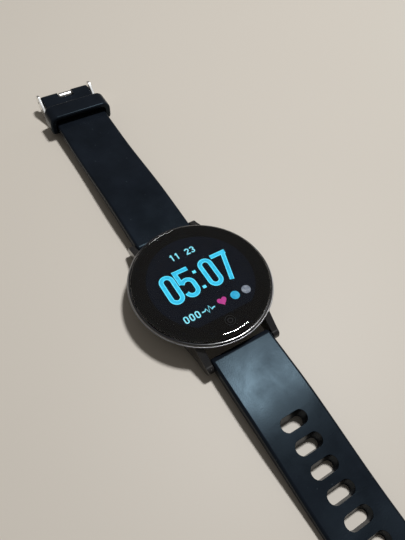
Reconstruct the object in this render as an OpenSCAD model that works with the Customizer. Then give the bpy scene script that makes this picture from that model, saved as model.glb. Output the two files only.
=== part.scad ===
// Round smartwatch with a touch key and a two-piece silicone strap.
//
// Frame: millimetres, +Z out of the display, +Y to 12 o'clock, +X to 3 o'clock.
// Origin: centre of the sensor bump on the case back, which rests on the table.
// The long strap lies flat; the short strap rests on its folded buckle.

/* [Case] */
// Diameter of the case body at its top edge
case_d = 43.2; // [40:0.2:52]
// Wall between the case flank and the display opening
case_wall = 2.6; // [2.2:0.1:3.4]
// Height of the sensor bump below the case back
bump_h = 0.6; // [0.3:0.1:1.2]
// Diameter of the sensor bump
bump_d = 18.4; // [16.4:0.2:22]
// How far the bezel stands out past the case body
bezel_out = 0.35; // [0.1:0.05:0.8]
// Thickness of the cover glass
glass_t = 1.25; // [0.9:0.05:1.8]
// Width of the rounded rim of the cover glass
glass_round = 1.6; // [1:0.1:2.4]

/* [Lugs] */
// Distance from the case flank out to each spring bar
bar_gap = 1.6; // [1.4:0.1:3]
// Height of the spring bars above the case back contact face
pivot_z = 3.3; // [2.8:0.1:4.2]
// Radius of the rounded lug tip
lug_r = 1.7; // [1.7:0.1:2.6]
// Thickness of a lug at its tip
lug_t = 2.1; // [1.9:0.1:3.2]

/* [Strap] */
// Width of the strap at the case
strap_w = 20; // [18:0.5:24]
// Width of the long strap at its tip
tip_w = 18; // [14:0.5:20]
// Thickness of the strap
strap_t = 2.9; // [2.2:0.1:3.5]
// Length of the long strap from its spring bar
long_l = 115; // [90:1:150]
// Length of the short strap between spring bar and buckle bar
short_l = 83.5; // [70:0.5:110]
// Angle that the folded buckle lifts the short strap by
short_lift = 2.5; // [2:0.1:3.2]

/* [Strap slots] */
// Number of slots
slot_n = 12; // [5:1:12]
// Distance between slots
slot_pitch = 6.5; // [5:0.1:6.9]
// Distance from the spring bar to the first slot
slot_first = 24; // [20:0.5:30]
// Length of a slot across the strap
slot_l = 7.2; // [6:0.1:9]
// Width of a slot along the strap
slot_w = 3.2; // [2.4:0.1:3.6]

/* [Keeper] */
// Length of the keeper along the strap
keeper_l = 7.5; // [6:0.5:14]
// Distance from the spring bar to the middle of the keeper
keeper_u = 70.2; // [68:0.1:72]
// Room in the keeper above the strap, for the tip of the long strap
keeper_room = 2.0; // [0.3:0.1:3.2]
// Wall of the keeper over the strap
keeper_wall = 1.5; // [1.2:0.1:2]
// Wall of the keeper under the strap
keeper_floor = 1.2; // [0.9:0.1:1.4]

/* [Buckle] */
// Distance from the buckle bar back to the cross bar
buckle_l = 12.2; // [10:0.1:16]
// Thickness of the buckle frame
buckle_t = 1.45; // [1.1:0.05:1.6]
// Width of each buckle arm
arm_w = 0.9; // [0.7:0.05:1.4]
// Radius of the arm lobe round the buckle bar
lobe_r = 2.8; // [2.4:0.1:3.2]
// Width of the tang
tang_w = 5.0; // [4:0.1:6]

/* [Board and battery] */
// Thickness of the main board
board_t = 0.8; // [0.6:0.1:1.2]
// Thickness of the battery
battery_t = 2.8; // [2:0.1:4]
// Gap between the vibration motor and the battery
bay_gap = 1.4; // [1.2:0.1:3]
// Diameter of the vibration motor
motor_d = 8; // [7:0.1:9.6]
// Height of the vibration motor
motor_h = 2.7; // [2:0.1:3.2]
// Thickness of the display panel
panel_t = 0.9; // [0.7:0.05:1.2]
// Thickness of the backlight
backlight_t = 0.85; // [0.6:0.05:1.2]

/* [Spring bars] */
// Diameter of the spring bar tube
bar_d = 1.8; // [1.5:0.05:2]
// Diameter of the plunger tips
tip_d = 1.0; // [0.8:0.05:1.1]
// Depth of the lug holes
hole_l = 1.3; // [1:0.1:1.6]

/* [Hidden] */
$fn = 96;
e = 0.01;                        // overshoot of a cut past a face

// Clearances
run_c = 0.05;                    // radial play of a turning or sliding fit
fit_c = 0.1;                     // play round a seated piece
side_c = 0.2;                    // play each side of the strap and the keeper

// Levels of the stack, from the table up
cover_t = 1.0;
window_seat = 0.9;               // level where the sensor window's flange sits
ledge_t = 0.7;
pad_t = 0.4;
plate_t = 0.6;
adhesive_t = 0.2;
bezel_ledge_t = 1.0;
z_cover = bump_h;
z_ledge = z_cover + cover_t;
z_board = z_ledge + ledge_t;
z_parts = z_board + board_t;     // top face of the main board
z_battery = z_parts + pad_t;
z_plate = z_battery + battery_t + 0.2;
z_light = z_plate + plate_t + 0.05;
z_panel = z_light + backlight_t;
z_glass = z_panel + panel_t;
z_bezel = z_glass - adhesive_t - bezel_ledge_t;
z_rim = z_glass + fit_c;         // top of the bezel
rim_t = 0.5;                     // depth of the mid frame's rim
z_step = z_plate - rim_t;
spigot_h = 0.5;

// Radii of the case, from the flank inwards
r_top = case_d / 2;
r_bezel = r_top + bezel_out;
r_upper = r_top - case_wall;
r_spigot = r_upper + 0.6;
r_cavity = r_upper - 1.4;
r_open = r_cavity - 0.6;
r_back = r_open + 0.9;
r_cover = r_open - fit_c;
r_ledge = r_open - 1.1;
r_board = r_cavity - 0.6;
r_glass = r_bezel - 1.05;
r_panel = r_upper - 2.2;

// Rear screws and the bosses that take them
screw_r = 0.7;
head_r = 1.25;
head_h = 0.5;
boss_r = 1.5;
boss_h = 3.0;
screw_circle = r_ledge - 0.7;
SCREW_ANGLES = [30, 150, 210, 330];
boss_x = screw_circle * cos(30);

// Battery between the bosses, electronics bay below it
battery_w = 2 * (boss_x - boss_r - 0.6);
battery_top = sqrt(pow(r_cavity - 1, 2) - pow(battery_w / 2, 2));
motor_r = motor_d / 2;
motor_x = motor_r + 2.2;
motor_y = -sqrt(pow(r_cavity - motor_r - 1.3, 2) - pow(motor_x, 2));
battery_low = motor_y + motor_r + bay_gap;
chip_top = battery_low - 0.3;     // upper edge of the chips in the bay
motor_wall = 0.25;
shaft_r = 0.4;

// Display with its flat lower edge, and the touch key below it
panel_low = -(r_panel - 2.9);
key_r = 1.9;
key_y = panel_low - key_r - 0.1;
key_tail_y = -(r_board - 0.25);  // where the key's tail meets the board
flex_x = -3;
flex_w = 6.4;
flex_t = 0.15;
flex_y = panel_low - 0.4;

// Sensor stack in the case back
window_r = 5.0;
flange_r = 5.8;
pocket_r = 6.3;
flange_t = 0.2;
led_h = 0.45;
z_leds = window_seat + flange_t + 0.05;
z_sensor = z_leds + led_h;
sensor_board_t = 0.35;

// Strap, lugs and spring bars
bar_r = bar_d / 2;
pivot_y = r_top + bar_gap;       // distance from the case centre to each spring bar
bore_r = bar_r + run_c;
knuckle_r = bar_r + 1.0;
lug_in = strap_w / 2 + side_c;
lug_out = lug_in + lug_t;
tip_r = tip_d / 2;
tube_x = strap_w / 2 - 1.4;      // half length of the spring bar tube
crimp_l = 0.3;
collar_t = 0.25;
head_l = 1.3;                    // length of the plunger's head in the tube
press_l = 1.3;                   // travel of a plunger
spring_l = tube_x - crimp_l - head_l - run_c;

// Strap section, measured from the spring bar axis
strap_low = -pivot_z;            // level of the strap's underside when it lies flat
strap_top = strap_low + strap_t;
level_l = 14;                    // length over which the strap stays level with the knuckle
settle_l = 52;                   // length by which it has come down to the ground

// Buckle, in the short strap's own line
pin_r = 0.7;
pin_w = strap_low + strap_t / 2; // height of the buckle bar in the strap
end_r = 1.75;
pin_y = pivot_y + short_l * cos(short_lift) - pin_w * sin(short_lift);
pin_z = pivot_z + short_l * sin(short_lift) + pin_w * cos(short_lift);
arm_in = strap_w / 2 + side_c + 0.05;
arm_out = arm_in + arm_w;
tang_t = 0.7;
tang_clear = 0.5;                // play each side of the tang in the strap
cross_w = 2.2;                   // width of the cross bar along the strap

function flank(t) = [r_back + (r_top - r_back) * pow(t, 0.8), z_cover + (z_bezel - z_cover) * t];

// A disc of radius r and height h at height z
module disc(r, z, h) {
    translate([0, 0, z]) cylinder(r = r, h = h);
}

// A ring between two radii
module ring(r_in, r_out, z, h) {
    difference() {
        disc(r_out, z, h);
        disc(r_in, z - 1, h + 2);
    }
}

// A box centred on x and y that stands at height z
module block(x, y, z, size) {
    translate([x - size[0] / 2, y - size[1] / 2, z]) cube(size);
}

// Children extruded along X between -half and +half, drawn as [y, z]
module along_x(half) {
    rotate([90, 0, 90]) translate([0, 0, -half]) linear_extrude(2 * half) children();
}

// A cylinder along X from x0 to x1 at height z on the line y
module rod(r, x0, x1, y, z) {
    translate([x0, y, z]) rotate([0, 90, 0]) cylinder(r = r, h = x1 - x0);
}

module at_screws() {
    for (a = SCREW_ANGLES) translate([screw_circle * cos(a), screw_circle * sin(a), 0]) children();
}

// Both ends of the case: 12 o'clock, then 6 o'clock
module both_ends() {
    children();
    mirror([0, 1, 0]) children();
}

// ---- Case ------------------------------------------------------------------

// Side view of a lug as [y, z]
module lug_side() {
    polygon([
        [r_top - 10, z_cover + 0.4], [pivot_y, pivot_z - lug_r],
        [pivot_y, pivot_z + lug_r], [r_top - 4, z_bezel - 0.3], [r_top - 10, z_bezel - 0.3]
    ]);
    translate([pivot_y, pivot_z]) circle(r = lug_r);
}

// Plan view of a lug as [x, y]
module lug_plan() {
    polygon([
        [lug_in, r_top - 9], [lug_out + 1.2, r_top - 9], [lug_out + 0.4, r_top - 4.2],
        [lug_out, pivot_y + lug_r - 0.6], [lug_out - 0.6, pivot_y + lug_r + 1],
        [lug_in, pivot_y + lug_r + 1]
    ]);
}

module lugs() {
    both_ends() for (side = [0, 1]) mirror([side, 0, 0]) intersection() {
        along_x(lug_out + 6) lug_side();
        linear_extrude(z_rim) lug_plan();
    }
}

module case_outline() {
    steps = 6;
    polygon(concat(
        [[0, z_cover]],
        [for (i = [0 : steps]) flank(i / steps)],
        [[0, z_bezel]]
    ));
}

module cavity_outline() {
    polygon([
        [0, -1], [r_open, -1], [r_open, z_ledge], [r_ledge, z_ledge],
        [r_ledge, z_board], [r_cavity, z_board], [r_cavity, z_step], [r_upper, z_step],
        [r_upper, z_bezel - spigot_h], [r_spigot, z_bezel - spigot_h],
        [r_spigot, z_bezel + 1], [0, z_bezel + 1]
    ]);
}

module case_body() {
    color([0.05, 0.05, 0.06]) difference() {
        union() {
            difference() {
                union() {
                    rotate_extrude() case_outline();
                    lugs();
                }
                rotate_extrude() cavity_outline();
            }
            at_screws() disc(boss_r, z_ledge, boss_h);
        }
        at_screws() disc(screw_r + 0.02, z_ledge - 1, boss_h);
        both_ends() for (side = [-1, 1])
            rod(tip_r + run_c, side > 0 ? lug_in - 1 : -lug_in - hole_l,
                side > 0 ? lug_in + hole_l : -lug_in + 1, pivot_y, pivot_z);
    }
}

module bezel_ring() {
    lip = r_glass + fit_c;
    color([0.1, 0.1, 0.11]) rotate_extrude() polygon([
        [r_upper, z_bezel - spigot_h], [r_spigot - 0.03, z_bezel - spigot_h],
        [r_spigot - 0.03, z_bezel], [r_top, z_bezel], [r_bezel, z_bezel + 0.3],
        [r_bezel, z_bezel + 0.5], [r_bezel - 0.3, z_rim - 0.3], [r_bezel - 0.5, z_rim],
        [lip, z_rim], [lip, z_bezel + bezel_ledge_t], [r_upper, z_bezel + bezel_ledge_t]
    ]);
}

module front_glass() {
    steps = 6;
    edge_h = glass_t - 0.85;
    color([0.1, 0.12, 0.16, 0.5]) rotate_extrude() polygon(concat(
        [[0, z_glass], [r_glass, z_glass]],
        [for (i = [0 : steps]) [
            r_glass - glass_round * (1 - cos(90 * i / steps)),
            z_glass + edge_h + (glass_t - edge_h) * sin(90 * i / steps)
        ]],
        [[0, z_glass + glass_t]]
    ));
}

module glass_adhesive() {
    color("dimgray") ring(r_upper + 0.5, r_glass - 0.1, z_glass - adhesive_t, adhesive_t);
}

// ---- Display and touch key --------------------------------------------------

// Disc with its lower side cut straight across
module flat_disc(r, low, z, h) {
    intersection() {
        disc(r, z, h);
        translate([-2 * r, low, z - 1]) cube([4 * r, 4 * r, h + 2]);
    }
}

module display_panel() {
    color([0.02, 0.03, 0.08]) flat_disc(r_panel, panel_low, z_panel, panel_t);
}

module backlight_unit() {
    color("whitesmoke") flat_disc(r_panel - 0.2, panel_low + 0.2, z_light, backlight_t);
}

module display_flex() {
    tail_z = z_parts + 0.9;
    color([0.8, 0.5, 0.15]) union() {
        translate([flex_x - flex_w / 2, flex_y, z_panel + 0.2])
            cube([flex_w, panel_low - flex_y, flex_t]);
        translate([flex_x - flex_w / 2, flex_y - flex_t, tail_z])
            cube([flex_w, flex_t + e, z_panel + 0.2 + flex_t - tail_z]);
    }
}

module touch_key_sensor() {
    tail_y = key_tail_y;
    color([0.75, 0.6, 0.3]) union() {
        translate([0, key_y, 0]) disc(key_r, z_glass - flex_t, flex_t);
        translate([-0.8, tail_y, z_parts]) cube([1.6, flex_t, z_glass - flex_t / 2 - z_parts]);
    }
}

module mid_frame() {
    color([0.25, 0.25, 0.27]) difference() {
        union() {
            disc(r_upper - fit_c, z_plate, plate_t);
            ring(r_cavity + fit_c, r_upper - fit_c, z_step, rim_t + e);
        }
        block(flex_x, flex_y - flex_t / 2, z_step, [flex_w + 1, 1, 3]);
        block(0, key_tail_y + flex_t / 2, z_step, [2.4, 0.9, 3]);
    }
}

// ---- Main board and what is on it -------------------------------------------

module main_board() {
    color("darkgreen") difference() {
        disc(r_board, z_board, board_t);
        at_screws() disc(boss_r + 0.3, z_board - 1, board_t + 2);
    }
}

module microcontroller() {
    color([0.12, 0.12, 0.13]) block(-6, chip_top - 3.25, z_parts, [6.5, 6.5, 0.9]);
}

module flash_memory() {
    color([0.15, 0.15, 0.16]) block(-0.6, chip_top - 1.8, z_parts, [3, 3.6, 0.8]);
}

module power_chip() {
    color([0.13, 0.13, 0.14]) block(r_board - 3.3, 0, z_parts, [3, 3, 0.8]);
}

module motion_sensor() {
    color([0.2, 0.2, 0.22]) block(3.4 - r_board, 1.2, z_parts, [2.5, 2.5, 0.9]);
}

module clock_crystal() {
    color("silver") block(3.6 - r_board, -2.4, z_parts, [3.2, 1.5, 0.7]);
}

module chip_antenna() {
    color("ivory") block(-4, r_board - 2.5, z_parts, [6, 1.5, 1.2]);
}

module display_connector() {
    color([0.85, 0.82, 0.75]) block(flex_x, flex_y - flex_t / 2, z_parts, [7, 1.4, 0.9]);
}

module battery() {
    color([0.72, 0.74, 0.78]) translate([-battery_w / 2, battery_low, z_battery])
        cube([battery_w, battery_top - battery_low, battery_t]);
}

module battery_pad() {
    color([0.2, 0.2, 0.2]) block(0, (battery_top + battery_low) / 2, z_parts, [16, 9, pad_t]);
}

// Connector and ribbon share these
ribbon_x = 5;
plug_y = r_board - 2.7;
plug_h = 1.3;

module battery_ribbon() {
    ribbon_z = z_battery + 1.4;
    color([0.85, 0.6, 0.2]) union() {
        translate([ribbon_x - 1, battery_top, ribbon_z]) cube([2, plug_y - battery_top + 0.1, 0.2]);
        translate([ribbon_x - 1, plug_y - 0.1, z_parts + plug_h])
            cube([2, 0.2, ribbon_z + e - z_parts - plug_h]);
    }
}

module battery_connector() {
    color("ivory") block(ribbon_x, plug_y, z_parts, [4, 2, plug_h]);
}

// ---- Vibration motor ----------------------------------------------------------

module at_motor() {
    translate([motor_x, motor_y, z_parts]) children();
}

module motor_can() {
    color("silver") at_motor() difference() {
        disc(motor_r, 0, motor_h);
        disc(motor_r - motor_wall, motor_wall, motor_h - 2 * motor_wall);
    }
}

module motor_shaft() {
    color("gray") at_motor() disc(shaft_r, motor_wall, motor_h - 2 * motor_wall);
}

// Half disc with a round hub, so that it turns out of balance
module motor_weight() {
    weight_r = motor_r - motor_wall - 0.25;
    weight_h = motor_h - 2 * motor_wall - 0.4;
    color([0.55, 0.5, 0.42]) at_motor() difference() {
        union() {
            intersection() {
                disc(weight_r, motor_wall + 0.2, weight_h);
                translate([-weight_r, 0, 0]) cube([2 * weight_r, weight_r, motor_h]);
            }
            disc(1.1, motor_wall + 0.2, weight_h);
        }
        disc(shaft_r + 0.03, 0, motor_h);
    }
}

// ---- Heart rate sensor ----------------------------------------------------------

module sensor_board() {
    color("darkgreen") disc(pocket_r - 0.3, z_sensor, sensor_board_t);
}

module green_leds() {
    color("palegreen") for (side = [-1, 1]) block(0, side * 3, z_leds, [1.6, 0.8, led_h]);
}

module photodiode() {
    color([0.1, 0.1, 0.12]) block(0, 0, z_leds, [2.5, 2, led_h]);
}

module light_shield() {
    color([0.08, 0.08, 0.08]) difference() {
        block(0, 0, z_leds, [4, 3.6, led_h]);
        block(0, 0, z_leds - 1, [3, 2.6, led_h + 2]);
    }
}

module sensor_connector() {
    color("ivory") block(0, 0, z_sensor + sensor_board_t, [6, 1.6, z_board - z_sensor - sensor_board_t]);
}

module sensor_window() {
    color([0.15, 0.15, 0.18, 0.6]) union() {
        disc(window_r - fit_c, 0, window_seat);
        disc(flange_r, window_seat, flange_t);
    }
}

// ---- Case back --------------------------------------------------------------------

contact_x = 2;
contact_y = -(screw_circle - 2.8);
contact_r = 1.1;
magnet_r = 1.5;
magnet_x = 6;
magnet_y = contact_y + 1;

module charging_contacts() {
    color("gold") for (side = [-1, 1]) translate([side * contact_x, contact_y, 0]) {
        disc(contact_r, z_cover - 0.05, cover_t + 0.05);
        disc(contact_r / 2, z_ledge - e, z_board - z_ledge + e);
    }
}

module charging_magnets() {
    color("silver") for (side = [-1, 1]) translate([side * magnet_x, magnet_y, 0])
        disc(magnet_r, z_cover + 0.4, cover_t - 0.4);
}

seal_w = 0.55;
seal_h = 0.3;

module rear_cover() {
    color([0.07, 0.07, 0.08]) difference() {
        union() {
            disc(r_cover, z_cover, cover_t);
            cylinder(r1 = bump_d / 2 - 0.6, r2 = bump_d / 2, h = z_cover + e);
        }
        disc(window_r, -1, 2 + window_seat);
        disc(pocket_r, window_seat, z_ledge);
        ring(r_cover - seal_w, r_cover + 1, z_ledge - seal_h, 1);
        at_screws() disc(screw_r + fit_c, -1, 4);
        at_screws() disc(head_r + fit_c, -1, 1 + z_cover + head_h);
        for (side = [-1, 1]) translate([side * contact_x, contact_y, 0]) disc(contact_r, 0, 3);
        for (side = [-1, 1]) translate([side * magnet_x, magnet_y, 0])
            disc(magnet_r + run_c, z_cover + 0.4, 3);
    }
}

module rear_screws() {
    color("dimgray") at_screws() difference() {
        union() {
            disc(head_r, z_cover, head_h);
            disc(screw_r, z_cover + head_h - e, cover_t - head_h + boss_h - 1.2);
        }
        for (a = [0, 90]) rotate(a) block(0, 0, z_cover - 1, [1.5, 0.3, 1.25]);
    }
}

module case_gasket() {
    color("orange") ring(r_cover - seal_w, r_cover, z_ledge - seal_h, seal_h);
}

// ---- Spring bars --------------------------------------------------------------------

// side is 1 for the 12 o'clock bar and -1 for the 6 o'clock bar
module spring_bar(side) {
    inner_r = tip_r + 0.12;
    difference() {
        rod(bar_r, -tube_x, tube_x, side * pivot_y, pivot_z);
        rod(inner_r, -tube_x + crimp_l, tube_x - crimp_l, side * pivot_y, pivot_z);
        rod(tip_r + run_c, -tube_x - 1, tube_x + 1, side * pivot_y, pivot_z);
    }
}

module spring_bar_12() {
    color("silver") spring_bar(1);
}

module spring_bar_6() {
    color("silver") spring_bar(-1);
}

// Compression spring as a swept helix of few-sided rings
module bar_spring(side) {
    wire_r = 0.12;
    coil_r = tip_r - wire_r - 0.05;
    turns = 22;
    per_turn = 10;
    sides = 5;
    count = turns * per_turn;
    points = [for (i = [0 : count], j = [0 : sides - 1])
        let (a = 360 * i / per_turn, b = 360 * j / sides, r = coil_r + wire_r * cos(b))
        [(i / count * 2 - 1) * (spring_l - wire_r) + wire_r * sin(b), r * cos(a), r * sin(a)]];
    faces = concat(
        [[for (j = [sides - 1 : -1 : 0]) j]],
        [for (i = [0 : count - 1], j = [0 : sides - 1])
            let (k = (j + 1) % sides, m = i * sides)
            [m + j, m + k, m + sides + k, m + sides + j]],
        [[for (j = [0 : sides - 1]) count * sides + j]]
    );
    translate([0, side * pivot_y, pivot_z]) polyhedron(points, faces, convexity = 10);
}

module bar_spring_12() {
    color("silver") bar_spring(1);
}

module bar_spring_6() {
    color("silver") bar_spring(-1);
}

// end is -1 for the left tip and 1 for the right one
module plunger(side, end) {
    head_end = tube_x - crimp_l - run_c;
    collar_x = lug_in - collar_t - 0.05;
    translate([0, side * pivot_y, pivot_z]) rotate([0, end * 90, 0]) rotate_extrude() polygon([
        [0, spring_l], [tip_r + 0.08, spring_l], [tip_r + 0.08, head_end],
        [tip_r, head_end], [tip_r, collar_x], [bar_r - 0.05, collar_x],
        [bar_r - 0.05, collar_x + collar_t], [tip_r, collar_x + collar_t],
        [tip_r, lug_in + hole_l - 0.35], [tip_r - 0.25, lug_in + hole_l - 0.1],
        [0, lug_in + hole_l - 0.1]
    ]);
}

module plunger_12_left() {
    color("silver") plunger(1, -1);
}

module plunger_12_right() {
    color("silver") plunger(1, 1);
}

module plunger_6_left() {
    color("silver") plunger(-1, -1);
}

module plunger_6_right() {
    color("silver") plunger(-1, 1);
}

// ---- Strap ----------------------------------------------------------------------------

// Point of a strap's side view that has gone a share s of the way from height a to height b
function settled(s, a, b) =
    [level_l + (settle_l - level_l) * s, a + (b - a) * s * s * (3 - 2 * s)];

// Side view of a strap as [distance from the spring bar, height], up to length l
module strap_side(l) {
    circle(r = knuckle_r);
    steps = [0, 0.25, 0.5, 0.75, 1];
    back = [1, 0.75, 0.5, 0.25, 0];
    polygon(concat(
        [[0, -knuckle_r]], [for (s = steps) settled(s, -knuckle_r, strap_low)],
        [[l, strap_low], [l, strap_top]], [for (s = back) settled(s, knuckle_r, strap_top)],
        [[0, knuckle_r]]));
}

module slot(u) {
    translate([0, u, 0]) for (side = [-1, 1]) {
        translate([side * (slot_l - slot_w) / 2, 0]) circle(r = slot_w / 2);
        square([slot_l - slot_w, slot_w], center = true);
    }
}

module strap_long() {
    end_u = long_l - tip_w / 2;
    color([0.2, 0.22, 0.25]) translate([0, -pivot_y, pivot_z]) mirror([0, 1, 0]) difference() {
        intersection() {
            along_x(strap_w / 2) strap_side(long_l);
            translate([0, 0, -pivot_z - 1]) linear_extrude(2 * pivot_z + 4) union() {
                polygon([
                    [-strap_w / 2, -knuckle_r - 1], [strap_w / 2, -knuckle_r - 1],
                    [strap_w / 2, level_l], [tip_w / 2, end_u],
                    [-tip_w / 2, end_u], [-strap_w / 2, level_l]
                ]);
                translate([0, end_u]) circle(r = tip_w / 2);
            }
        }
        rod(bore_r, -strap_w, strap_w, 0, 0);
        for (i = [0 : slot_n - 1]) translate([0, 0, strap_low - 1])
            linear_extrude(strap_t + 2) slot(slot_first + i * slot_pitch);
    }
}

// The short strap's own line: [x, distance along, height] from its spring bar
module on_short_strap() {
    translate([0, pivot_y, pivot_z]) rotate([short_lift, 0, 0]) children();
}

module strap_short() {
    notch_w = tang_w + 2 * tang_clear;
    notch_l = end_r + 1.0;
    color([0.2, 0.22, 0.25]) on_short_strap() difference() {
        along_x(strap_w / 2) union() {
            strap_side(short_l - 2);
            polygon([
                [short_l - 6, strap_low], [short_l, pin_w - end_r],
                [short_l, pin_w + end_r], [short_l - 6, strap_top]
            ]);
            translate([short_l, pin_w]) circle(r = end_r);
        }
        rod(bore_r, -strap_w, strap_w, 0, 0);
        rod(pin_r + run_c, -strap_w, strap_w, short_l, pin_w);
        translate([-notch_w / 2, short_l - notch_l, pin_w - 5]) cube([notch_w, notch_l + 5, 10]);
    }
}

module strap_keeper() {
    in_w = strap_w / 2 + side_c;
    in_low = strap_low - 0.15;
    in_top = strap_top + keeper_room;
    out_w = in_w + 2.1;
    color([0.17, 0.18, 0.21]) on_short_strap() difference() {
        translate([-out_w, keeper_u - keeper_l / 2, in_low - keeper_floor])
            cube([2 * out_w, keeper_l, in_top - in_low + keeper_floor + keeper_wall]);
        translate([-in_w, keeper_u - keeper_l, in_low]) cube([2 * in_w, 2 * keeper_l, in_top - in_low]);
    }
}

// ---- Buckle, folded back under the strap ----------------------------------------------

cross_y = pin_y - buckle_l;      // middle of the cross bar
notch_h = tang_t + 0.05;         // depth of the tang's notch in the cross bar

// Side view of a buckle arm as [y, z]
module arm_side() {
    translate([pin_y, pin_z]) circle(r = lobe_r);
    polygon([
        [cross_y, 0], [pin_y - 6.2, 0], [pin_y + 0.6, pin_z - lobe_r + 0.1],
        [pin_y - 0.6, pin_z + lobe_r - 0.1], [pin_y - 8.9, buckle_t + 0.1], [pin_y - 9.4, buckle_t],
        [cross_y, buckle_t]
    ]);
}

module buckle_frame() {
    color("silver") difference() {
        union() {
            for (side = [-1, 1]) translate([side * (arm_in + arm_w / 2), 0, 0]) along_x(arm_w / 2) arm_side();
            translate([-arm_out, cross_y - cross_w / 2, 0]) cube([2 * arm_out, cross_w, buckle_t]);
        }
        rod(pin_r + 0.02, -arm_out - 1, arm_out + 1, pin_y, pin_z);
        block(0, cross_y, -1, [tang_w * 0.6 + 0.4, cross_w + 2, 1 + notch_h]);
    }
}

module buckle_bar() {
    color("silver") rod(pin_r, -arm_out, arm_out, pin_y, pin_z);
}

module buckle_tang() {
    hub_r = pin_r + 0.8;
    blade_w = tang_w * 0.6;
    color("silver") difference() {
        union() {
            rod(hub_r, -tang_w / 2, tang_w / 2, pin_y, pin_z);
            along_x(blade_w / 2) polygon([
                [cross_y - cross_w / 2 - 0.6, 0.05], [cross_y - cross_w / 2 - 0.6, tang_t - 0.15],
                [cross_y, tang_t], [pin_y - 6.0, tang_t], [pin_y - 1.35, pin_z - 0.8],
                [pin_y + 0.2, pin_z - hub_r + 0.1], [pin_y - 5.4, 0.05]
            ]);
        }
        rod(pin_r + run_c, -strap_w, strap_w, pin_y, pin_z);
    }
}

case_body();
bezel_ring();
front_glass();
glass_adhesive();
display_panel();
backlight_unit();
display_flex();
touch_key_sensor();
mid_frame();
main_board();
microcontroller();
flash_memory();
power_chip();
motion_sensor();
clock_crystal();
chip_antenna();
display_connector();
battery();
battery_pad();
battery_ribbon();
battery_connector();
motor_can();
motor_shaft();
motor_weight();
sensor_board();
green_leds();
photodiode();
light_shield();
sensor_connector();
sensor_window();
charging_contacts();
charging_magnets();
rear_cover();
rear_screws();
case_gasket();
spring_bar_12();
spring_bar_6();
bar_spring_12();
bar_spring_6();
plunger_12_left();
plunger_12_right();
plunger_6_left();
plunger_6_right();
strap_short();
strap_long();
strap_keeper();
buckle_frame();
buckle_bar();
buckle_tang();
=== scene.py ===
"""Looks of a round smartwatch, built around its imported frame.

Every piece is in metres in the frame's own axes: +Z out of the display, +Y towards
12 o'clock, +X towards 3 o'clock. Sizes in this file are in millimetres and are turned
into metres by MM where a mesh is made. DOUBLES and SEAM are how near, in metres, two
points are merged; TOUCH is how near, in mm, an edge is to a plane that it lies in.
"""

import logging
import math
from contextlib import contextmanager
from dataclasses import dataclass, field
from enum import Enum
from functools import cache
from typing import Callable, Iterator, Sequence

import bpy
from mathutils import Matrix, Vector


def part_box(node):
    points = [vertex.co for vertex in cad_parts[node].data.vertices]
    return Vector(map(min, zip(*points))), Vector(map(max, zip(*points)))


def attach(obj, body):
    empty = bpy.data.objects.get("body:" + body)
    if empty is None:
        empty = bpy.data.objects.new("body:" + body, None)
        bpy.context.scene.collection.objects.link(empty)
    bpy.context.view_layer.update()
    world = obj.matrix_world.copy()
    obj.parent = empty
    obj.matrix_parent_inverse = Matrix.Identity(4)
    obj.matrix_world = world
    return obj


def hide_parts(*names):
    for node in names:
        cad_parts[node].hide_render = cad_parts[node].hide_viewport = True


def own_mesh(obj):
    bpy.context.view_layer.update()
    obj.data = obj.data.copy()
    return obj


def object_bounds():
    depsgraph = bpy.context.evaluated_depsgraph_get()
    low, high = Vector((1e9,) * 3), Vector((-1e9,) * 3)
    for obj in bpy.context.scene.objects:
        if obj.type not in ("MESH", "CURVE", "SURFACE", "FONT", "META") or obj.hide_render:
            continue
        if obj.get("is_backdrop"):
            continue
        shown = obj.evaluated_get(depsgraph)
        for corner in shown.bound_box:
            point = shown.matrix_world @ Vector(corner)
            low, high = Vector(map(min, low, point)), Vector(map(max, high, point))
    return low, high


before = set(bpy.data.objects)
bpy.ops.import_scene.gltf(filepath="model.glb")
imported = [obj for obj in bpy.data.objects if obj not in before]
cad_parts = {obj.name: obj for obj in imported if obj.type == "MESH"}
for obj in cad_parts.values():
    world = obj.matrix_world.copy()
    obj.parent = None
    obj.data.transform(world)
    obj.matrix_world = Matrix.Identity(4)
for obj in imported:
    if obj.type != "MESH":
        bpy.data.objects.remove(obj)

MM = 0.001
DOUBLES = 2e-6
SEAM = 1e-6
TOUCH = 1e-2
LOG = logging.getLogger("watch")
CAD_LOW, CAD_HIGH = (v.copy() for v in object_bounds())

Colour = tuple[float, float, float]
Pair = tuple[float, float]
Place = tuple[float, float, float]
Test = Callable[[Vector, Vector], bool]


# ---- Bench: modelling steps --------------------------------------------------------------


class Axis(Enum):
    """The axis that a flat outline is drawn out along."""

    X = "X"
    Z = "Z"


class Cut(Enum):
    """How a second solid changes a first one."""

    AWAY = "DIFFERENCE"
    KEEP = "INTERSECT"
    ADD = "UNION"


def settle() -> None:
    """Leave edit mode and deselect everything."""
    if bpy.context.object is not None and bpy.context.object.mode != "OBJECT":
        bpy.ops.object.mode_set(mode="OBJECT")
    bpy.ops.object.select_all(action="DESELECT")


def take(piece: bpy.types.Object) -> None:
    """Make a piece the active one and the only one selected."""
    settle()
    piece.select_set(True)
    bpy.context.view_layer.objects.active = piece


def named(name: str) -> bpy.types.Object:
    """Name the piece that was just added and give its place to its mesh.

    Args:
        name: The piece's name.

    Returns:
        The piece.
    """
    piece = bpy.context.object
    piece.name = name
    piece.data.name = name
    bpy.ops.object.transform_apply(location=True, rotation=True, scale=True)
    return piece


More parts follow.
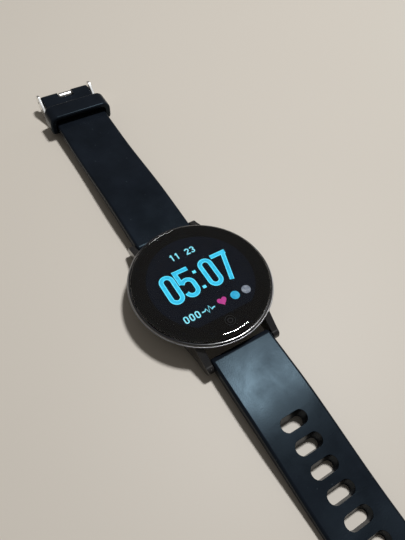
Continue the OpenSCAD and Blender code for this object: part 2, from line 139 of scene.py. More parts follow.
@contextmanager
def editing(piece: bpy.types.Object, whole: bool = True) -> Iterator[None]:
    """Keep a piece in edit mode for a few steps.

    Args:
        piece: The piece to edit.
        whole: Whether all of it is selected first.

    Returns:
        A context in which mesh operators act on the piece.
    """
    take(piece)
    bpy.ops.object.mode_set(mode="EDIT")
    if whole:
        bpy.ops.mesh.select_all(action="SELECT")
    yield
    bpy.ops.object.mode_set(mode="OBJECT")


def pick_nothing(mesh: bpy.types.Mesh) -> None:
    """Deselect all of a mesh's points, edges and faces."""
    for part in (mesh.vertices, mesh.edges, mesh.polygons):
        part.foreach_set("select", [False] * len(part))


def pick_edges(piece: bpy.types.Object, test: Test, sharp: float = 0) -> None:
    """Select the edges whose middle and direction, in mm, pass a test.

    Args:
        piece: The piece whose edges are looked at.
        test: Takes the edge's middle and its direction.
        sharp: Smallest angle between an edge's faces, in degrees.
    """
    take(piece)
    mesh = piece.data
    pick_nothing(mesh)
    faces: dict[tuple[int, int], list[Vector]] = {}
    for face in mesh.polygons:
        for key in face.edge_keys:
            faces.setdefault(key, []).append(face.normal.copy())
    for edge in mesh.edges:
        a, b = (mesh.vertices[i].co / MM for i in edge.vertices)
        sides = faces.get(edge.key, [])
        bent = len(sides) == 2 and sides[0].angle(sides[1], 0) >= math.radians(sharp)
        edge.select = (bent or not sharp) and test((a + b) / 2, (b - a).normalized())
    bpy.context.tool_settings.mesh_select_mode = (False, True, False)


def pick_faces(piece: bpy.types.Object, test: Test) -> None:
    """Select the faces whose middle, in mm, and normal pass a test.

    Args:
        piece: The piece whose faces are looked at.
        test: Takes the face's middle and its normal.
    """
    take(piece)
    mesh = piece.data
    pick_nothing(mesh)
    for face in mesh.polygons:
        face.select = test(face.center / MM, face.normal)
    bpy.context.tool_settings.mesh_select_mode = (False, False, True)


def round_edges(piece: bpy.types.Object, width: float, steps: int, test: Test,
                sharp: float = 0) -> None:
    """Bevel the edges that pass a test.

    Args:
        piece: The piece to change.
        width: Width of the rounding in mm.
        steps: Number of faces across the rounding.
        test: Takes an edge's middle and direction, in mm.
        sharp: Smallest angle between an edge's faces, in degrees.
    """
    pick_edges(piece, test, sharp)
    with editing(piece, whole=False):
        bpy.ops.mesh.bevel(offset=width * MM, segments=steps, affect="EDGES", clamp_overlap=True)


def modify(piece: bpy.types.Object, kind: str, **settings: object) -> None:
    """Add a modifier with its settings and apply it.

    Args:
        piece: The piece to change.
        kind: Blender's name for the modifier.
        settings: Values of the modifier's own settings.
    """
    take(piece)
    step = piece.modifiers.new(kind.lower(), kind)
    for key, value in settings.items():
        setattr(step, key, value)
    bpy.ops.object.modifier_apply(modifier=step.name)


def soften(piece: bpy.types.Object, width: float, steps: int = 3, angle: float = 30) -> None:
    """Round every edge sharper than an angle.

    Args:
        piece: The piece to change.
        width: Width of the rounding in mm.
        steps: Number of faces across the rounding.
        angle: Smallest angle between faces that is rounded, in degrees.
    """
    modify(piece, "BEVEL", width=width * MM, segments=steps, limit_method="ANGLE",
           angle_limit=math.radians(angle), miter_outer="MITER_ARC", use_clamp_overlap=True)


def cut(piece: bpy.types.Object, tool: bpy.types.Object, how: Cut = Cut.AWAY) -> None:
    """Change a solid by another one, which is used up.

    Args:
        piece: The piece to change.
        tool: The solid that cuts it or joins it.
        how: What is done with the two.
    """
    modify(piece, "BOOLEAN", object=tool, operation=how.value, solver="EXACT")
    bpy.data.objects.remove(tool)


def clean(piece: bpy.types.Object, angle: float = 32) -> bpy.types.Object:
    """Merge doubles, turn faces outwards and shade the piece.

    Args:
        piece: The finished shape.
        angle: Edges sharper than this many degrees stay sharp.

    Returns:
        The same piece.
    """
    with editing(piece):
        bpy.ops.mesh.remove_doubles(threshold=DOUBLES)
        bpy.ops.mesh.normals_make_consistent(inside=False)
    take(piece)
    bpy.ops.object.shade_smooth_by_angle(angle=math.radians(angle))
    modify(piece, "WEIGHTED_NORMAL", mode="FACE_AREA", weight=50, keep_sharp=True)
    return piece


def turned(name: str, section: Sequence[Pair], steps: int = 128) -> bpy.types.Object:
    """Turn a half section round the Z axis.

    Args:
        name: The piece's name.
        section: Points (radius, height) in mm. A section off the axis is closed.
        steps: Number of faces round the piece.

    Returns:
        The turned piece.
    """
    settle()
    bpy.ops.mesh.primitive_plane_add(size=MM)
    piece = named(name)
    path = list(section)
    if path[0][0] > 0 or path[-1][0] > 0:
        path.append(path[0])
    bpy.context.tool_settings.mesh_select_mode = (True, False, False)
    with editing(piece):
        bpy.ops.mesh.merge(type="CENTER")
        bpy.ops.transform.translate(value=(path[0][0] * MM, 0, path[0][1] * MM))
        for (r0, z0), (r1, z1) in zip(path, path[1:]):
            bpy.ops.mesh.extrude_vertices_move(
                TRANSFORM_OT_translate={"value": ((r1 - r0) * MM, 0, (z1 - z0) * MM)})
        bpy.ops.mesh.select_all(action="SELECT")
        bpy.ops.mesh.spin(steps=steps, angle=math.tau, center=(0, 0, 0), axis=(0, 0, 1))
        bpy.ops.mesh.select_all(action="SELECT")
        bpy.ops.mesh.remove_doubles(threshold=SEAM)
        bpy.ops.mesh.normals_make_consistent(inside=False)
    return piece


def drawn_out(name: str, outline: Sequence[Pair], start: float, end: float,
              axis: Axis = Axis.X) -> bpy.types.Object:
    """Draw a flat outline out into a solid.

    Args:
        name: The piece's name.
        outline: Points (y, z) for X, or (x, y) for Z, in mm.
        start: Where the solid starts on the axis.
        end: Where it ends.
        axis: The axis it is drawn out along.

    Returns:
        The solid.
    """
    settle()
    bpy.ops.mesh.primitive_circle_add(vertices=len(outline), radius=MM, fill_type="NGON")
    piece = named(name)
    for point, (a, b) in zip(piece.data.vertices, outline):
        point.co = Vector((start, a, b) if axis is Axis.X else (a, b, start)) * MM
    way = Vector((end - start, 0, 0) if axis is Axis.X else (0, 0, end - start)) * MM
    with editing(piece):
        bpy.ops.mesh.extrude_region_move(TRANSFORM_OT_translate={"value": way})
        bpy.ops.mesh.select_all(action="SELECT")
        bpy.ops.mesh.normals_make_consistent(inside=False)
    return piece


def block(name: str, low: Place, high: Place) -> bpy.types.Object:
    """Add a box.

    Args:
        name: The piece's name.
        low: Its lowest corner in mm.
        high: Its highest corner in mm.

    Returns:
        The box.
    """
    settle()
    middle = [(a + b) / 2 * MM for a, b in zip(low, high)]
    bpy.ops.mesh.primitive_cube_add(size=1, location=middle,
                                    scale=[(b - a) * MM for a, b in zip(low, high)])
    return named(name)


def rod(name: str, radius: float, start: Place, length: float, axis: Axis = Axis.X,
        sides: int = 48) -> bpy.types.Object:
    """Add a round rod that starts at a point and runs along an axis.

    Args:
        name: The piece's name.
        radius: Its radius in mm.
        start: Middle of its first end.
        length: Its length in mm.
        axis: The axis it runs along.
        sides: Number of faces round it.

    Returns:
        The rod.
    """
    settle()
    way = Vector((1, 0, 0) if axis is Axis.X else (0, 0, 1))
    turn = (0, math.pi / 2, 0) if axis is Axis.X else (0, 0, 0)
    bpy.ops.mesh.primitive_cylinder_add(vertices=sides, radius=radius * MM, depth=length * MM,
                                        location=(Vector(start) + way * length / 2) * MM, rotation=turn)
    return named(name)


def stadium(length: float, width: float, centre: Pair, steps: int = 12) -> list[Pair]:
    """Outline a slot with round ends that runs along the first axis.

    Args:
        length: Its whole length in mm.
        width: Its width in mm.
        centre: Its middle.
        steps: Number of sides to each round end.

    Returns:
        The outline.
    """
    r, half = width / 2, (length - width) / 2
    turns = [math.pi * i / steps - math.pi / 2 for i in range(steps + 1)]
    right = [(centre[0] + half + r * math.cos(t), centre[1] + r * math.sin(t)) for t in turns]
    left = [(centre[0] - half - r * math.cos(t), centre[1] - r * math.sin(t)) for t in turns]
    return right + left


def copied(piece: bpy.types.Object, name: str) -> bpy.types.Object:
    """Copy a piece with its own mesh.

    Args:
        piece: The piece to copy.
        name: The copy's name.

    Returns:
        The copy.
    """
    take(piece)
    bpy.ops.object.duplicate()
    twin = bpy.context.object
    twin.data = twin.data.copy() if twin.data == piece.data else twin.data
    twin.name = name
    twin.data.name = name
    return twin


def moved(piece: bpy.types.Object, by: Place) -> bpy.types.Object:
    """Move a piece's mesh.

    Args:
        piece: The piece to move.
        by: How far it moves along each axis, in mm.

    Returns:
        The same piece.
    """
    with editing(piece):
        bpy.ops.transform.translate(value=Vector(by) * MM)
    return piece


def scaled(piece: bpy.types.Object, by: Place) -> bpy.types.Object:
    """Scale or mirror a piece's mesh about the origin and turn its faces outwards.

    Args:
        piece: The piece to change.
        by: Factor along each axis; -1 mirrors.

    Returns:
        The same piece.
    """
    with editing(piece):
        bpy.ops.transform.resize(value=by, center_override=(0, 0, 0))
        bpy.ops.mesh.normals_make_consistent(inside=False)
    return piece


def tilted(piece: bpy.types.Object, degrees: float) -> bpy.types.Object:
    """Turn a piece's mesh about the X axis, the right-handed way.

    Args:
        piece: The piece to turn.
        degrees: How far it turns.

    Returns:
        The same piece.
    """
    with editing(piece):
        bpy.ops.transform.rotate(value=-math.radians(degrees), orient_axis="X",
                                 center_override=(0, 0, 0))
    return piece


def stroke(name: str, points: Sequence[Pair], width: float, low: float, high: float,
           closed: bool = False) -> bpy.types.Object:
    """Draw a flat line of one width with square ends.

    Args:
        name: The piece's name.
        points: Points (x, y) of its middle line in mm.
        width: Width of the line in mm.
        low: Height of its underside.
        high: Height of its top.
        closed: Whether the line runs back to its start.

    Returns:
        The line as a mesh.
    """
    settle()
    bpy.ops.curve.primitive_bezier_curve_add()
    line = bpy.context.object
    line.name = name
    line.data.splines.clear()
    run = line.data.splines.new("POLY")
    run.points.add(len(points) - 1)
    for knot, (x, y) in zip(run.points, points):
        knot.co = (x * MM, y * MM, 0, 1)
    run.use_cyclic_u = closed
    line.data.dimensions = "3D"
    line.data.bevel_depth = width / 2 * MM
    line.data.bevel_resolution = 2
    line.data.use_fill_caps = True
    bpy.ops.object.convert(target="MESH")
    piece = named(name)
    scaled(piece, (1, 1, (high - low) / width))
    return moved(piece, (0, 0, (low + high) / 2))


def joined(name: str, parts: Sequence[bpy.types.Object]) -> bpy.types.Object:
    """Join several meshes into one piece.

    Args:
        name: The piece's name.
        parts: The meshes, which are used up.

    Returns:
        The piece.
    """
    settle()
    for part in parts:
        part.select_set(True)
    bpy.context.view_layer.objects.active = parts[0]
    if len(parts) > 1:
        bpy.ops.object.join()
    piece = bpy.context.object
    piece.name = name
    piece.data.name = name
    return piece


# ---- Shader work -------------------------------------------------------------------------


@dataclass
class Tree:
    """A node tree with short ways to add and link its nodes."""

    tree: bpy.types.NodeTree

    def add(self, kind: str, **settings: object) -> bpy.types.Node:
        """Add a node.

        Args:
            kind: Blender's name for the node.
            settings: Values of its properties or, as in_0, in_1 and on, of its input sockets.

        Returns:
            The node.
        """
        node = self.tree.nodes.new(kind)
        for key, value in settings.items():
            if key.startswith("in_"):
                node.inputs[int(key[3:])].default_value = value
            else:
                setattr(node, key, value)
        return node

    def link(self, out: bpy.types.NodeSocket, into: bpy.types.NodeSocket) -> None:
        """Join two sockets."""
        self.tree.links.new(out, into)

    def maths(self, operation: str, a: object, b: object = 0.5) -> bpy.types.NodeSocket:
        """Combine two numbers.

        Args:
            operation: Blender's name for the sum.
            a: First number, a value or a socket.
            b: Second number, a value or a socket.

        Returns:
            The result's socket.
        """
        node = self.add("ShaderNodeMath", operation=operation)
        for slot, value in zip(node.inputs, (a, b)):
            if isinstance(value, bpy.types.NodeSocket):
                self.link(value, slot)
            else:
                slot.default_value = value
        return node.outputs[0]

    def spread(self, value: bpy.types.NodeSocket, low: float, high: float,
               start: float = 0.0, end: float = 1.0) -> bpy.types.NodeSocket:
        """Map a value from one range to another and hold it at both ends.

        Args:
            value: The value's socket.
            low: Result at the start of the first range.
            high: Result at its end.
            start: Where the first range starts.
            end: Where it ends.

        Returns:
            The result's socket.
        """
        node = self.add("ShaderNodeMapRange", in_1=start, in_2=end, in_3=low, in_4=high)
        self.link(value, node.inputs[0])
        return node.outputs[0]

    def blend(self, share: bpy.types.NodeSocket, a: object, b: object) -> bpy.types.NodeSocket:
        """Mix two colours.

        Args:
            share: Socket with the share of the second colour.
            a: First colour, a value or a socket.
            b: Second colour, a value or a socket.

        Returns:
            The mixed colour's socket.
        """
        node = self.add("ShaderNodeMix", data_type="RGBA")
        self.link(share, node.inputs[0])
        for slot, value in ((node.inputs[6], a), (node.inputs[7], b)):
            if isinstance(value, bpy.types.NodeSocket):
                self.link(value, slot)
            else:
                slot.default_value = (*value, 1)
        return node.outputs[2]

    def noise(self, place: bpy.types.NodeSocket, scale: object, detail: float = 3,
              rough: float = 0.5) -> bpy.types.NodeSocket:
        """Add noise.

        Args:
            place: Socket with the place.
            scale: Its scale, a number or a socket.
            detail: How many finer layers it has.
            rough: How strong the finer layers are.

        Returns:
            The noise's socket.
        """
        node = self.add("ShaderNodeTexNoise")
        self.link(place, node.inputs["Vector"])
        if isinstance(scale, bpy.types.NodeSocket):
            self.link(scale, node.inputs["Scale"])
        else:
            node.inputs["Scale"].default_value = scale
        node.inputs["Detail"].default_value = detail
        node.inputs["Roughness"].default_value = rough
        return node.outputs["Fac"]

    def place(self) -> bpy.types.NodeSocket:
        """The piece's own coordinates, in metres."""
        return self.add("ShaderNodeTexCoord").outputs["Object"]


def new_group(name: str, inputs: Sequence[tuple[str, float]],
              outputs: Sequence[str]) -> tuple[Tree, bpy.types.Node, bpy.types.Node]:
    """Start a shader node group with number sockets.

    Args:
        name: The group's name.
        inputs: Names and first values of its inputs.
        outputs: Names of its outputs.

    Returns:
        Its tree, its input node and its output node.
    """
    tree = bpy.data.node_groups.new(name, "ShaderNodeTree")
    for label, value in inputs:
        socket = tree.interface.new_socket(name=label, in_out="INPUT", socket_type="NodeSocketFloat")
        socket.default_value = value
    for label in outputs:
        tree.interface.new_socket(name=label, in_out="OUTPUT", socket_type="NodeSocketFloat")
    made = Tree(tree)
    return made, made.add("NodeGroupInput"), made.add("NodeGroupOutput")


@cache
def surface_grain() -> bpy.types.NodeTree:
    """Group: fine grain and larger patches of tone.

    Returns:
        The group.
    """
    made, inner, outer = new_group("surface_grain", [("Grain Scale", 2500), ("Patch Scale", 150)],
                                   ["Grain", "Patches"])
    place = made.place()
    made.link(made.noise(place, inner.outputs[0], 2, 0.6), outer.inputs[0])
    patches = made.noise(place, inner.outputs[1], 4, 0.55)
    made.link(made.spread(patches, 0, 1, 0.3, 0.7), outer.inputs[1])
    return made.tree


@cache
def edge_wear() -> bpy.types.NodeTree:
    """Group: how far an edge is rubbed, broken up by noise.

    Returns:
        The group.
    """
    made, inner, outer = new_group("edge_wear", [("Amount", 0.5), ("Break Up Scale", 900)], ["Wear"])
    ridge = made.spread(made.add("ShaderNodeNewGeometry").outputs["Pointiness"], 0, 1, 0.53, 0.62)
    broken = made.spread(made.noise(made.place(), inner.outputs[1], 4, 0.7), 0, 1, 0.42, 0.62)
    made.link(made.maths("MULTIPLY", made.maths("MULTIPLY", ridge, broken), inner.outputs[0]),
              outer.inputs[0])
    return made.tree


@cache
def handling() -> bpy.types.NodeTree:
    """Group: soft finger smears and small specks of dust.

    Returns:
        The group.
    """
    made, inner, outer = new_group("handling", [("Smear Scale", 110), ("Dust Share", 0.1)],
                                   ["Smear", "Dust"])
    place = made.place()
    bend = made.add("ShaderNodeTexNoise", in_2=60, in_3=2)
    made.link(place, bend.inputs["Vector"])
    drift = made.add("ShaderNodeVectorMath", operation="SCALE")
    made.link(bend.outputs["Color"], drift.inputs[0])
    drift.inputs["Scale"].default_value = 0.012
    warped = made.add("ShaderNodeVectorMath", operation="ADD")
    made.link(place, warped.inputs[0])
    made.link(drift.outputs[0], warped.inputs[1])
    smear = made.noise(warped.outputs[0], inner.outputs[0], 5, 0.62)
    made.link(made.spread(smear, 0, 1, 0.42, 0.72), outer.inputs[0])
    cells = made.add("ShaderNodeTexVoronoi", in_2=1100)
    made.link(place, cells.inputs["Vector"])
    near = made.spread(cells.outputs["Distance"], 1, 0, 0.06, 0.16)
    chance = made.maths("LESS_THAN", made.maths("FRACT", made.maths(
        "MULTIPLY", cells.outputs["Color"], 7.3)), inner.outputs[1])
    made.link(made.maths("MULTIPLY", near, chance), outer.inputs[1])
    return made.tree


@cache
def brushed_lines() -> bpy.types.NodeTree:
    """Group: fine lines along X, as a brush or a roller leaves them.

    Returns:
        The group.
    """
    made, inner, outer = new_group("brushed_lines", [("Line Scale", 6000)], ["Lines"])
    squeeze = made.add("ShaderNodeMapping")
    squeeze.inputs["Scale"].default_value = (0.03, 1, 1)
    made.link(made.place(), squeeze.inputs["Vector"])
    made.link(made.noise(squeeze.outputs[0], inner.outputs[0], 2, 0.6), outer.inputs[0])
    return made.tree


def use(made: Tree, group: bpy.types.NodeTree, *values: float) -> bpy.types.Node:
    """Place a group in a tree.

    Args:
        made: The tree.
        group: The group.
        values: Values of its inputs, in order.

    Returns:
        The group's node.
    """
    node = made.add("ShaderNodeGroup", node_tree=group)
    for slot, value in zip(node.inputs, values):
        slot.default_value = value
    return node


@dataclass(frozen=True)
class Finish:
    """A moulded, painted or metal surface with grain, patches, smears and wear."""

    name: str
    colour: Colour
    second: Colour
    rough: float = 0.5
    rough_spread: float = 0.12
    metallic: float = 0.0
    specular: float = 0.5
    coat: float = 0.0
    coat_rough: float = 0.08
    grain: float = 2500
    patch: float = 150
    bump: float = 0.15
    depth: float = 0.00004
    smear: float = 110
    smear_rough: float = 0.08
    dust: float = 0.05
    dust_colour: Colour = (0.35, 0.34, 0.32)
    wear: float = 0.3
    wear_colour: Colour = (0.12, 0.12, 0.13)
    lines: float = 0.0
    tint: Colour = (1.0, 1.0, 1.0)

    def start(self) -> tuple[bpy.types.Material, Tree, bpy.types.Node]:
        """Make the material and its shader with the constant values set.

        Returns:
            The material, its tree and its shader.
        """
        material = bpy.data.materials.new(self.name)
        material.use_nodes = True
        made = Tree(material.node_tree)
        shader = next(n for n in made.tree.nodes if n.type == "BSDF_PRINCIPLED")
        shader.inputs["Metallic"].default_value = self.metallic
        shader.inputs["Specular IOR Level"].default_value = self.specular
        shader.inputs["Specular Tint"].default_value = (*self.tint, 1)
        shader.inputs["Coat Weight"].default_value = self.coat
        shader.inputs["Coat Roughness"].default_value = self.coat_rough
        material.diffuse_color = (*self.colour, 1)
        return material, made, shader

    def pattern(self, made: Tree, base: bpy.types.NodeSocket) -> bpy.types.NodeSocket:
        """Add the finish's own pattern to its colour; a plain finish has none."""
        return base

    def build(self) -> bpy.types.Material:
        """Build the material.

        Returns:
            The finished material.
        """
        material, made, shader = self.start()
        grain = use(made, surface_grain(), self.grain, self.patch)
        touch = use(made, handling(), self.smear, self.dust)
        worn = use(made, edge_wear(), self.wear, 900)
        base = made.blend(grain.outputs["Patches"], self.colour, self.second)
        base = self.pattern(made, base)
        base = made.blend(worn.outputs["Wear"], base, self.wear_colour)
        base = made.blend(touch.outputs["Dust"], base, self.dust_colour)
        made.link(base, shader.inputs["Base Color"])
        rough = made.spread(grain.outputs["Patches"], self.rough - self.rough_spread / 2,
                            self.rough + self.rough_spread / 2)
        rough = made.maths("ADD", rough, made.spread(touch.outputs["Smear"], 0, self.smear_rough))
        made.link(rough, shader.inputs["Roughness"])
        height = grain.outputs["Grain"]
        if self.lines:
            height = use(made, brushed_lines(), self.lines).outputs["Lines"]
        bump = made.add("ShaderNodeBump")
        bump.inputs["Strength"].default_value = self.bump
        bump.inputs["Distance"].default_value = self.depth
        made.link(height, bump.inputs["Height"])
        made.link(bump.outputs["Normal"], shader.inputs["Normal"])
        return material


@dataclass(frozen=True)
class BoardFinish(Finish):
    """Green solder mask with copper tracks under it and bare pads."""

    copper: Colour = (0.02, 0.12, 0.05)
    pad: Colour = (0.75, 0.55, 0.22)

    def pattern(self, made: Tree, base: bpy.types.NodeSocket) -> bpy.types.NodeSocket:
        """Lay tracks and pads over the solder mask.

        Args:
            made: The material's tree.
            base: Socket with the colour so far.

        Returns:
            The new colour's socket.
        """
        bricks = made.add("ShaderNodeTexBrick", offset=0.37, squash=1.6, squash_frequency=3)
        bricks.inputs["Scale"].default_value = 620
        bricks.inputs["Mortar Size"].default_value = 0.035
        made.link(made.place(), bricks.inputs["Vector"])
        tracked = made.blend(bricks.outputs["Fac"], base, self.copper)
        cells = made.add("ShaderNodeTexVoronoi", in_2=420, in_8=0.15)
        made.link(made.place(), cells.inputs["Vector"])
        dots = made.maths("LESS_THAN", cells.outputs["Distance"], 0.14)
        return made.blend(dots, tracked, self.pad)


@dataclass(frozen=True)
class RibbonFinish(Finish):
    """Amber film with copper conductors that run side by side."""

    copper: Colour = (0.55, 0.2, 0.04)

    def pattern(self, made: Tree, base: bpy.types.NodeSocket) -> bpy.types.NodeSocket:
        """Lay conductors on the film.

        Args:
            made: The material's tree.
            base: Socket with the colour so far.

        Returns:
            The new colour's socket.
        """
        bands = made.add("ShaderNodeTexWave", bands_direction="X")
        bands.inputs["Scale"].default_value = 420
        made.link(made.place(), bands.inputs["Vector"])
        return made.blend(made.spread(bands.outputs["Fac"], 0, 1, 0.45, 0.6), base, self.copper)


@dataclass(frozen=True)
class GlowFinish(Finish):
    """A lit part of the display."""

    strength: float = 1.0

    def build(self) -> bpy.types.Material:
        """Build the material.

        Returns:
            The finished material.
        """
        material, made, shader = self.start()
        grain = use(made, surface_grain(), self.grain, self.patch)
        mixed = made.blend(grain.outputs["Patches"], self.colour, self.second)
        cells = made.add("ShaderNodeTexVoronoi", in_2=9000, in_8=0.0)
        made.link(made.place(), cells.inputs["Vector"])
        dim = made.spread(cells.outputs["Distance"], 1, 0.86, 0, 0.6)
        lit = made.add("ShaderNodeMix", data_type="RGBA", blend_type="MULTIPLY", in_0=1.0)
        made.link(mixed, lit.inputs[6])
        made.link(dim, lit.inputs[7])
        made.link(lit.outputs[2], shader.inputs["Emission Color"])
        shader.inputs["Emission Strength"].default_value = self.strength
        shader.inputs["Base Color"].default_value = (0.0008, 0.001, 0.0015, 1)
        shader.inputs["Roughness"].default_value = 0.6
        shader.inputs["Specular IOR Level"].default_value = 0.0
        return material


@dataclass(frozen=True)
class GlassFinish(Finish):
    """Clear or smoky glass with finger smears and a few fine scratches."""

    ior: float = 1.45

    def build(self) -> bpy.types.Material:
        """Build the material.

        Returns:
            The finished material.
        """
        material, made, shader = self.start()
        grain = use(made, surface_grain(), self.grain, self.patch)
        touch = use(made, handling(), self.smear, self.dust)
        made.link(made.blend(grain.outputs["Patches"], self.colour, self.second),
                  shader.inputs["Base Color"])
        smear = made.spread(touch.outputs["Smear"], self.rough, self.rough + self.rough_spread)
        made.link(smear, shader.inputs["Roughness"])
        bump = made.add("ShaderNodeBump")
        bump.inputs["Strength"].default_value = self.bump
        bump.inputs["Distance"].default_value = self.depth
        made.link(grain.outputs["Patches"], bump.inputs["Height"])
        made.link(bump.outputs["Normal"], shader.inputs["Normal"])
        shader.inputs["Transmission Weight"].default_value = 1.0
        shader.inputs["IOR"].default_value = self.ior
        return material


FINISHES: dict[str, Finish] = {
    f.name: f for f in (
        Finish("case_black", (0.010, 0.010, 0.012), (0.016, 0.014, 0.013), 0.26, 0.08, coat=0.5,
               coat_rough=0.12, bump=0.06, wear=0.5),
        Finish("bezel_black", (0.008, 0.008, 0.010), (0.013, 0.013, 0.015), 0.16, 0.05, coat=1.0,
               coat_rough=0.05, bump=0.03, wear=0.15),
        Finish("bezel_line", (0.26, 0.26, 0.27), (0.20, 0.20, 0.21), 0.3, 0.1, metallic=1.0,
               bump=0.05, wear=0.0, dust=0.02),
        Finish("print_black", (0.0002, 0.0004, 0.0007), (0.0004, 0.0006, 0.001), 0.6, 0.1, bump=0.02,
               wear=0.0, dust=0.0, specular=0.0),
        Finish("key_mark", (0.035, 0.036, 0.038), (0.022, 0.023, 0.026), 0.6, 0.1, bump=0.02, wear=0.0,
               specular=0.0),
        Finish("adhesive", (0.04, 0.04, 0.042), (0.06, 0.06, 0.062), 0.7, bump=0.3, wear=0.0),
        Finish("backlight", (0.82, 0.83, 0.82), (0.74, 0.75, 0.76), 0.5, bump=0.1, wear=0.1,
               wear_colour=(0.6, 0.6, 0.6)),
        RibbonFinish("flex_circuit", (0.62, 0.32, 0.06), (0.55, 0.26, 0.04), 0.3, bump=0.1, wear=0.0,
                     coat=0.4),
        Finish("inner_plastic", (0.045, 0.046, 0.05), (0.06, 0.06, 0.064), 0.55, bump=0.25, wear=0.3),
        BoardFinish("circuit_board", (0.012, 0.075, 0.03), (0.015, 0.09, 0.04), 0.35, bump=0.12,
                    coat=0.5, wear=0.1),
        Finish("chip_package", (0.018, 0.018, 0.02), (0.026, 0.026, 0.028), 0.5, bump=0.35,
               grain=6000, wear=0.2),
        Finish("metal_can", (0.62, 0.62, 0.6), (0.52, 0.52, 0.5), 0.32, metallic=1.0, lines=7000,
               bump=0.2, wear=0.3, wear_colour=(0.75, 0.75, 0.74)),
        Finish("connector", (0.72, 0.68, 0.58), (0.64, 0.6, 0.5), 0.45, bump=0.15, wear=0.2,
               wear_colour=(0.8, 0.77, 0.7)),
        Finish("battery_foil", (0.66, 0.67, 0.68), (0.56, 0.57, 0.58), 0.34, 0.16, metallic=0.85,
               patch=420, grain=900, bump=0.5, depth=0.00009, wear=0.2,
               wear_colour=(0.8, 0.8, 0.8)),
        Finish("foam", (0.05, 0.05, 0.05), (0.08, 0.08, 0.08), 0.9, bump=0.8, grain=3500,
               depth=0.0001, wear=0.0),
        Finish("tungsten", (0.36, 0.33, 0.29), (0.28, 0.26, 0.23), 0.45, metallic=1.0, bump=0.5,
               grain=5000, wear=0.4, wear_colour=(0.6, 0.58, 0.55)),
        GlowFinish("led", (0.25, 1.0, 0.45), (0.12, 0.8, 0.3), patch=900, strength=0.6),
        GlassFinish("sensor_window", (0.10, 0.10, 0.12), (0.08, 0.08, 0.10), 0.06, 0.1, bump=0.02,
                    ior=1.49),
        Finish("gold_contact", (0.85, 0.6, 0.26), (0.78, 0.52, 0.2), 0.25, metallic=1.0, bump=0.08,
               wear=0.3, wear_colour=(0.7, 0.62, 0.45)),
        Finish("cover_plastic", (0.016, 0.016, 0.018), (0.024, 0.024, 0.026), 0.5, bump=0.45,
               grain=5500, wear=0.35),
        Finish("gasket", (0.6, 0.16, 0.03), (0.5, 0.12, 0.02), 0.55, bump=0.15, wear=0.0),
        Finish("steel", (0.93, 0.93, 0.92), (0.84, 0.84, 0.83), 0.24, 0.08, metallic=1.0, lines=5000,
               bump=0.06, wear=0.2, wear_colour=(0.95, 0.95, 0.95), dust=0.02),
        Finish("screw_black", (0.05, 0.05, 0.055), (0.07, 0.07, 0.07), 0.38, metallic=1.0, bump=0.2,
               wear=0.8, wear_colour=(0.45, 0.44, 0.42)),
        Finish("strap_silicone", (0.0065, 0.0085, 0.012), (0.010, 0.013, 0.019), 0.25, 0.05,
               grain=3200, patch=95, bump=0.25, smear=75, smear_rough=0.08, dust=0.04,
               dust_colour=(0.10, 0.12, 0.14), wear=0.35, wear_colour=(0.03, 0.035, 0.04),
               specular=0.12, tint=(0.56, 0.82, 1.0)),
        GlassFinish("cover_glass", (1.0, 1.0, 1.0), (0.985, 0.99, 0.995), 0.0, 0.02, bump=0.0,
                    patch=90, smear=85),
        GlowFinish("digit_edge", (0.09, 0.66, 0.92), (0.16, 0.76, 0.98), patch=500, strength=1.4),
        GlowFinish("digit_core", (0.02, 0.42, 0.68), (0.05, 0.60, 0.88), patch=700, strength=1.35),
        GlowFinish("text_glow", (0.20, 0.80, 1.0), (0.36, 0.90, 1.0), patch=1500, strength=1.1),
        GlowFinish("heart_glow", (0.85, 0.09, 0.42), (0.62, 0.07, 0.40), patch=900, strength=0.8),
        GlowFinish("dot_glow", (0.02, 0.48, 0.85), (0.12, 0.72, 0.98), patch=700, strength=0.9),
        GlowFinish("grey_glow", (0.16, 0.20, 0.30), (0.70, 0.78, 0.88), patch=900, strength=0.6),
        GlowFinish("panel_glow", (0.001, 0.004, 0.012), (0.002, 0.007, 0.019), patch=160,
                   strength=0.5),
    )
}


@cache
def finish(name: str) -> bpy.types.Material:
    """Build a finish once and return its material."""
    return FINISHES[name].build()


def dress(piece: bpy.types.Object, name: str) -> bpy.types.Object:
    """Give a piece one finish all over.

    Args:
        piece: The piece.
        name: The finish's name.

    Returns:
        The same piece.
    """
    piece.data.materials.clear()
    piece.data.materials.append(finish(name))
    return piece


def hand_over(piece: bpy.types.Object, look: str, body: str, slot: str, *nodes: str) -> bpy.types.Object:
    """Dress a finished piece, put it on its body and hide the CAD nodes that it stands for.

    Args:
        piece: The finished shape.
        look: Name of its finish.
        body: CAD body that it rides on.
        slot: Name of a material slot; not used.
        nodes: CAD nodes that it stands for.

    Returns:
        The same piece.
    """
    dress(piece, look)
    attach(piece, body)
    if nodes:
        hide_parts(*nodes)
    LOG.info("%s: %d faces, rides on %s", piece.name, len(piece.data.polygons), body)
    return piece


# ---- Sizes shared by the pieces ----------------------------------------------------------


def span(node: str) -> tuple[Vector, Vector]:
    """Read the box of a CAD node.

    Args:
        node: The node's name.

    Returns:
        Its lowest and its highest corner in mm.
    """
    low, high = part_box(node)
    return low / MM, high / MM


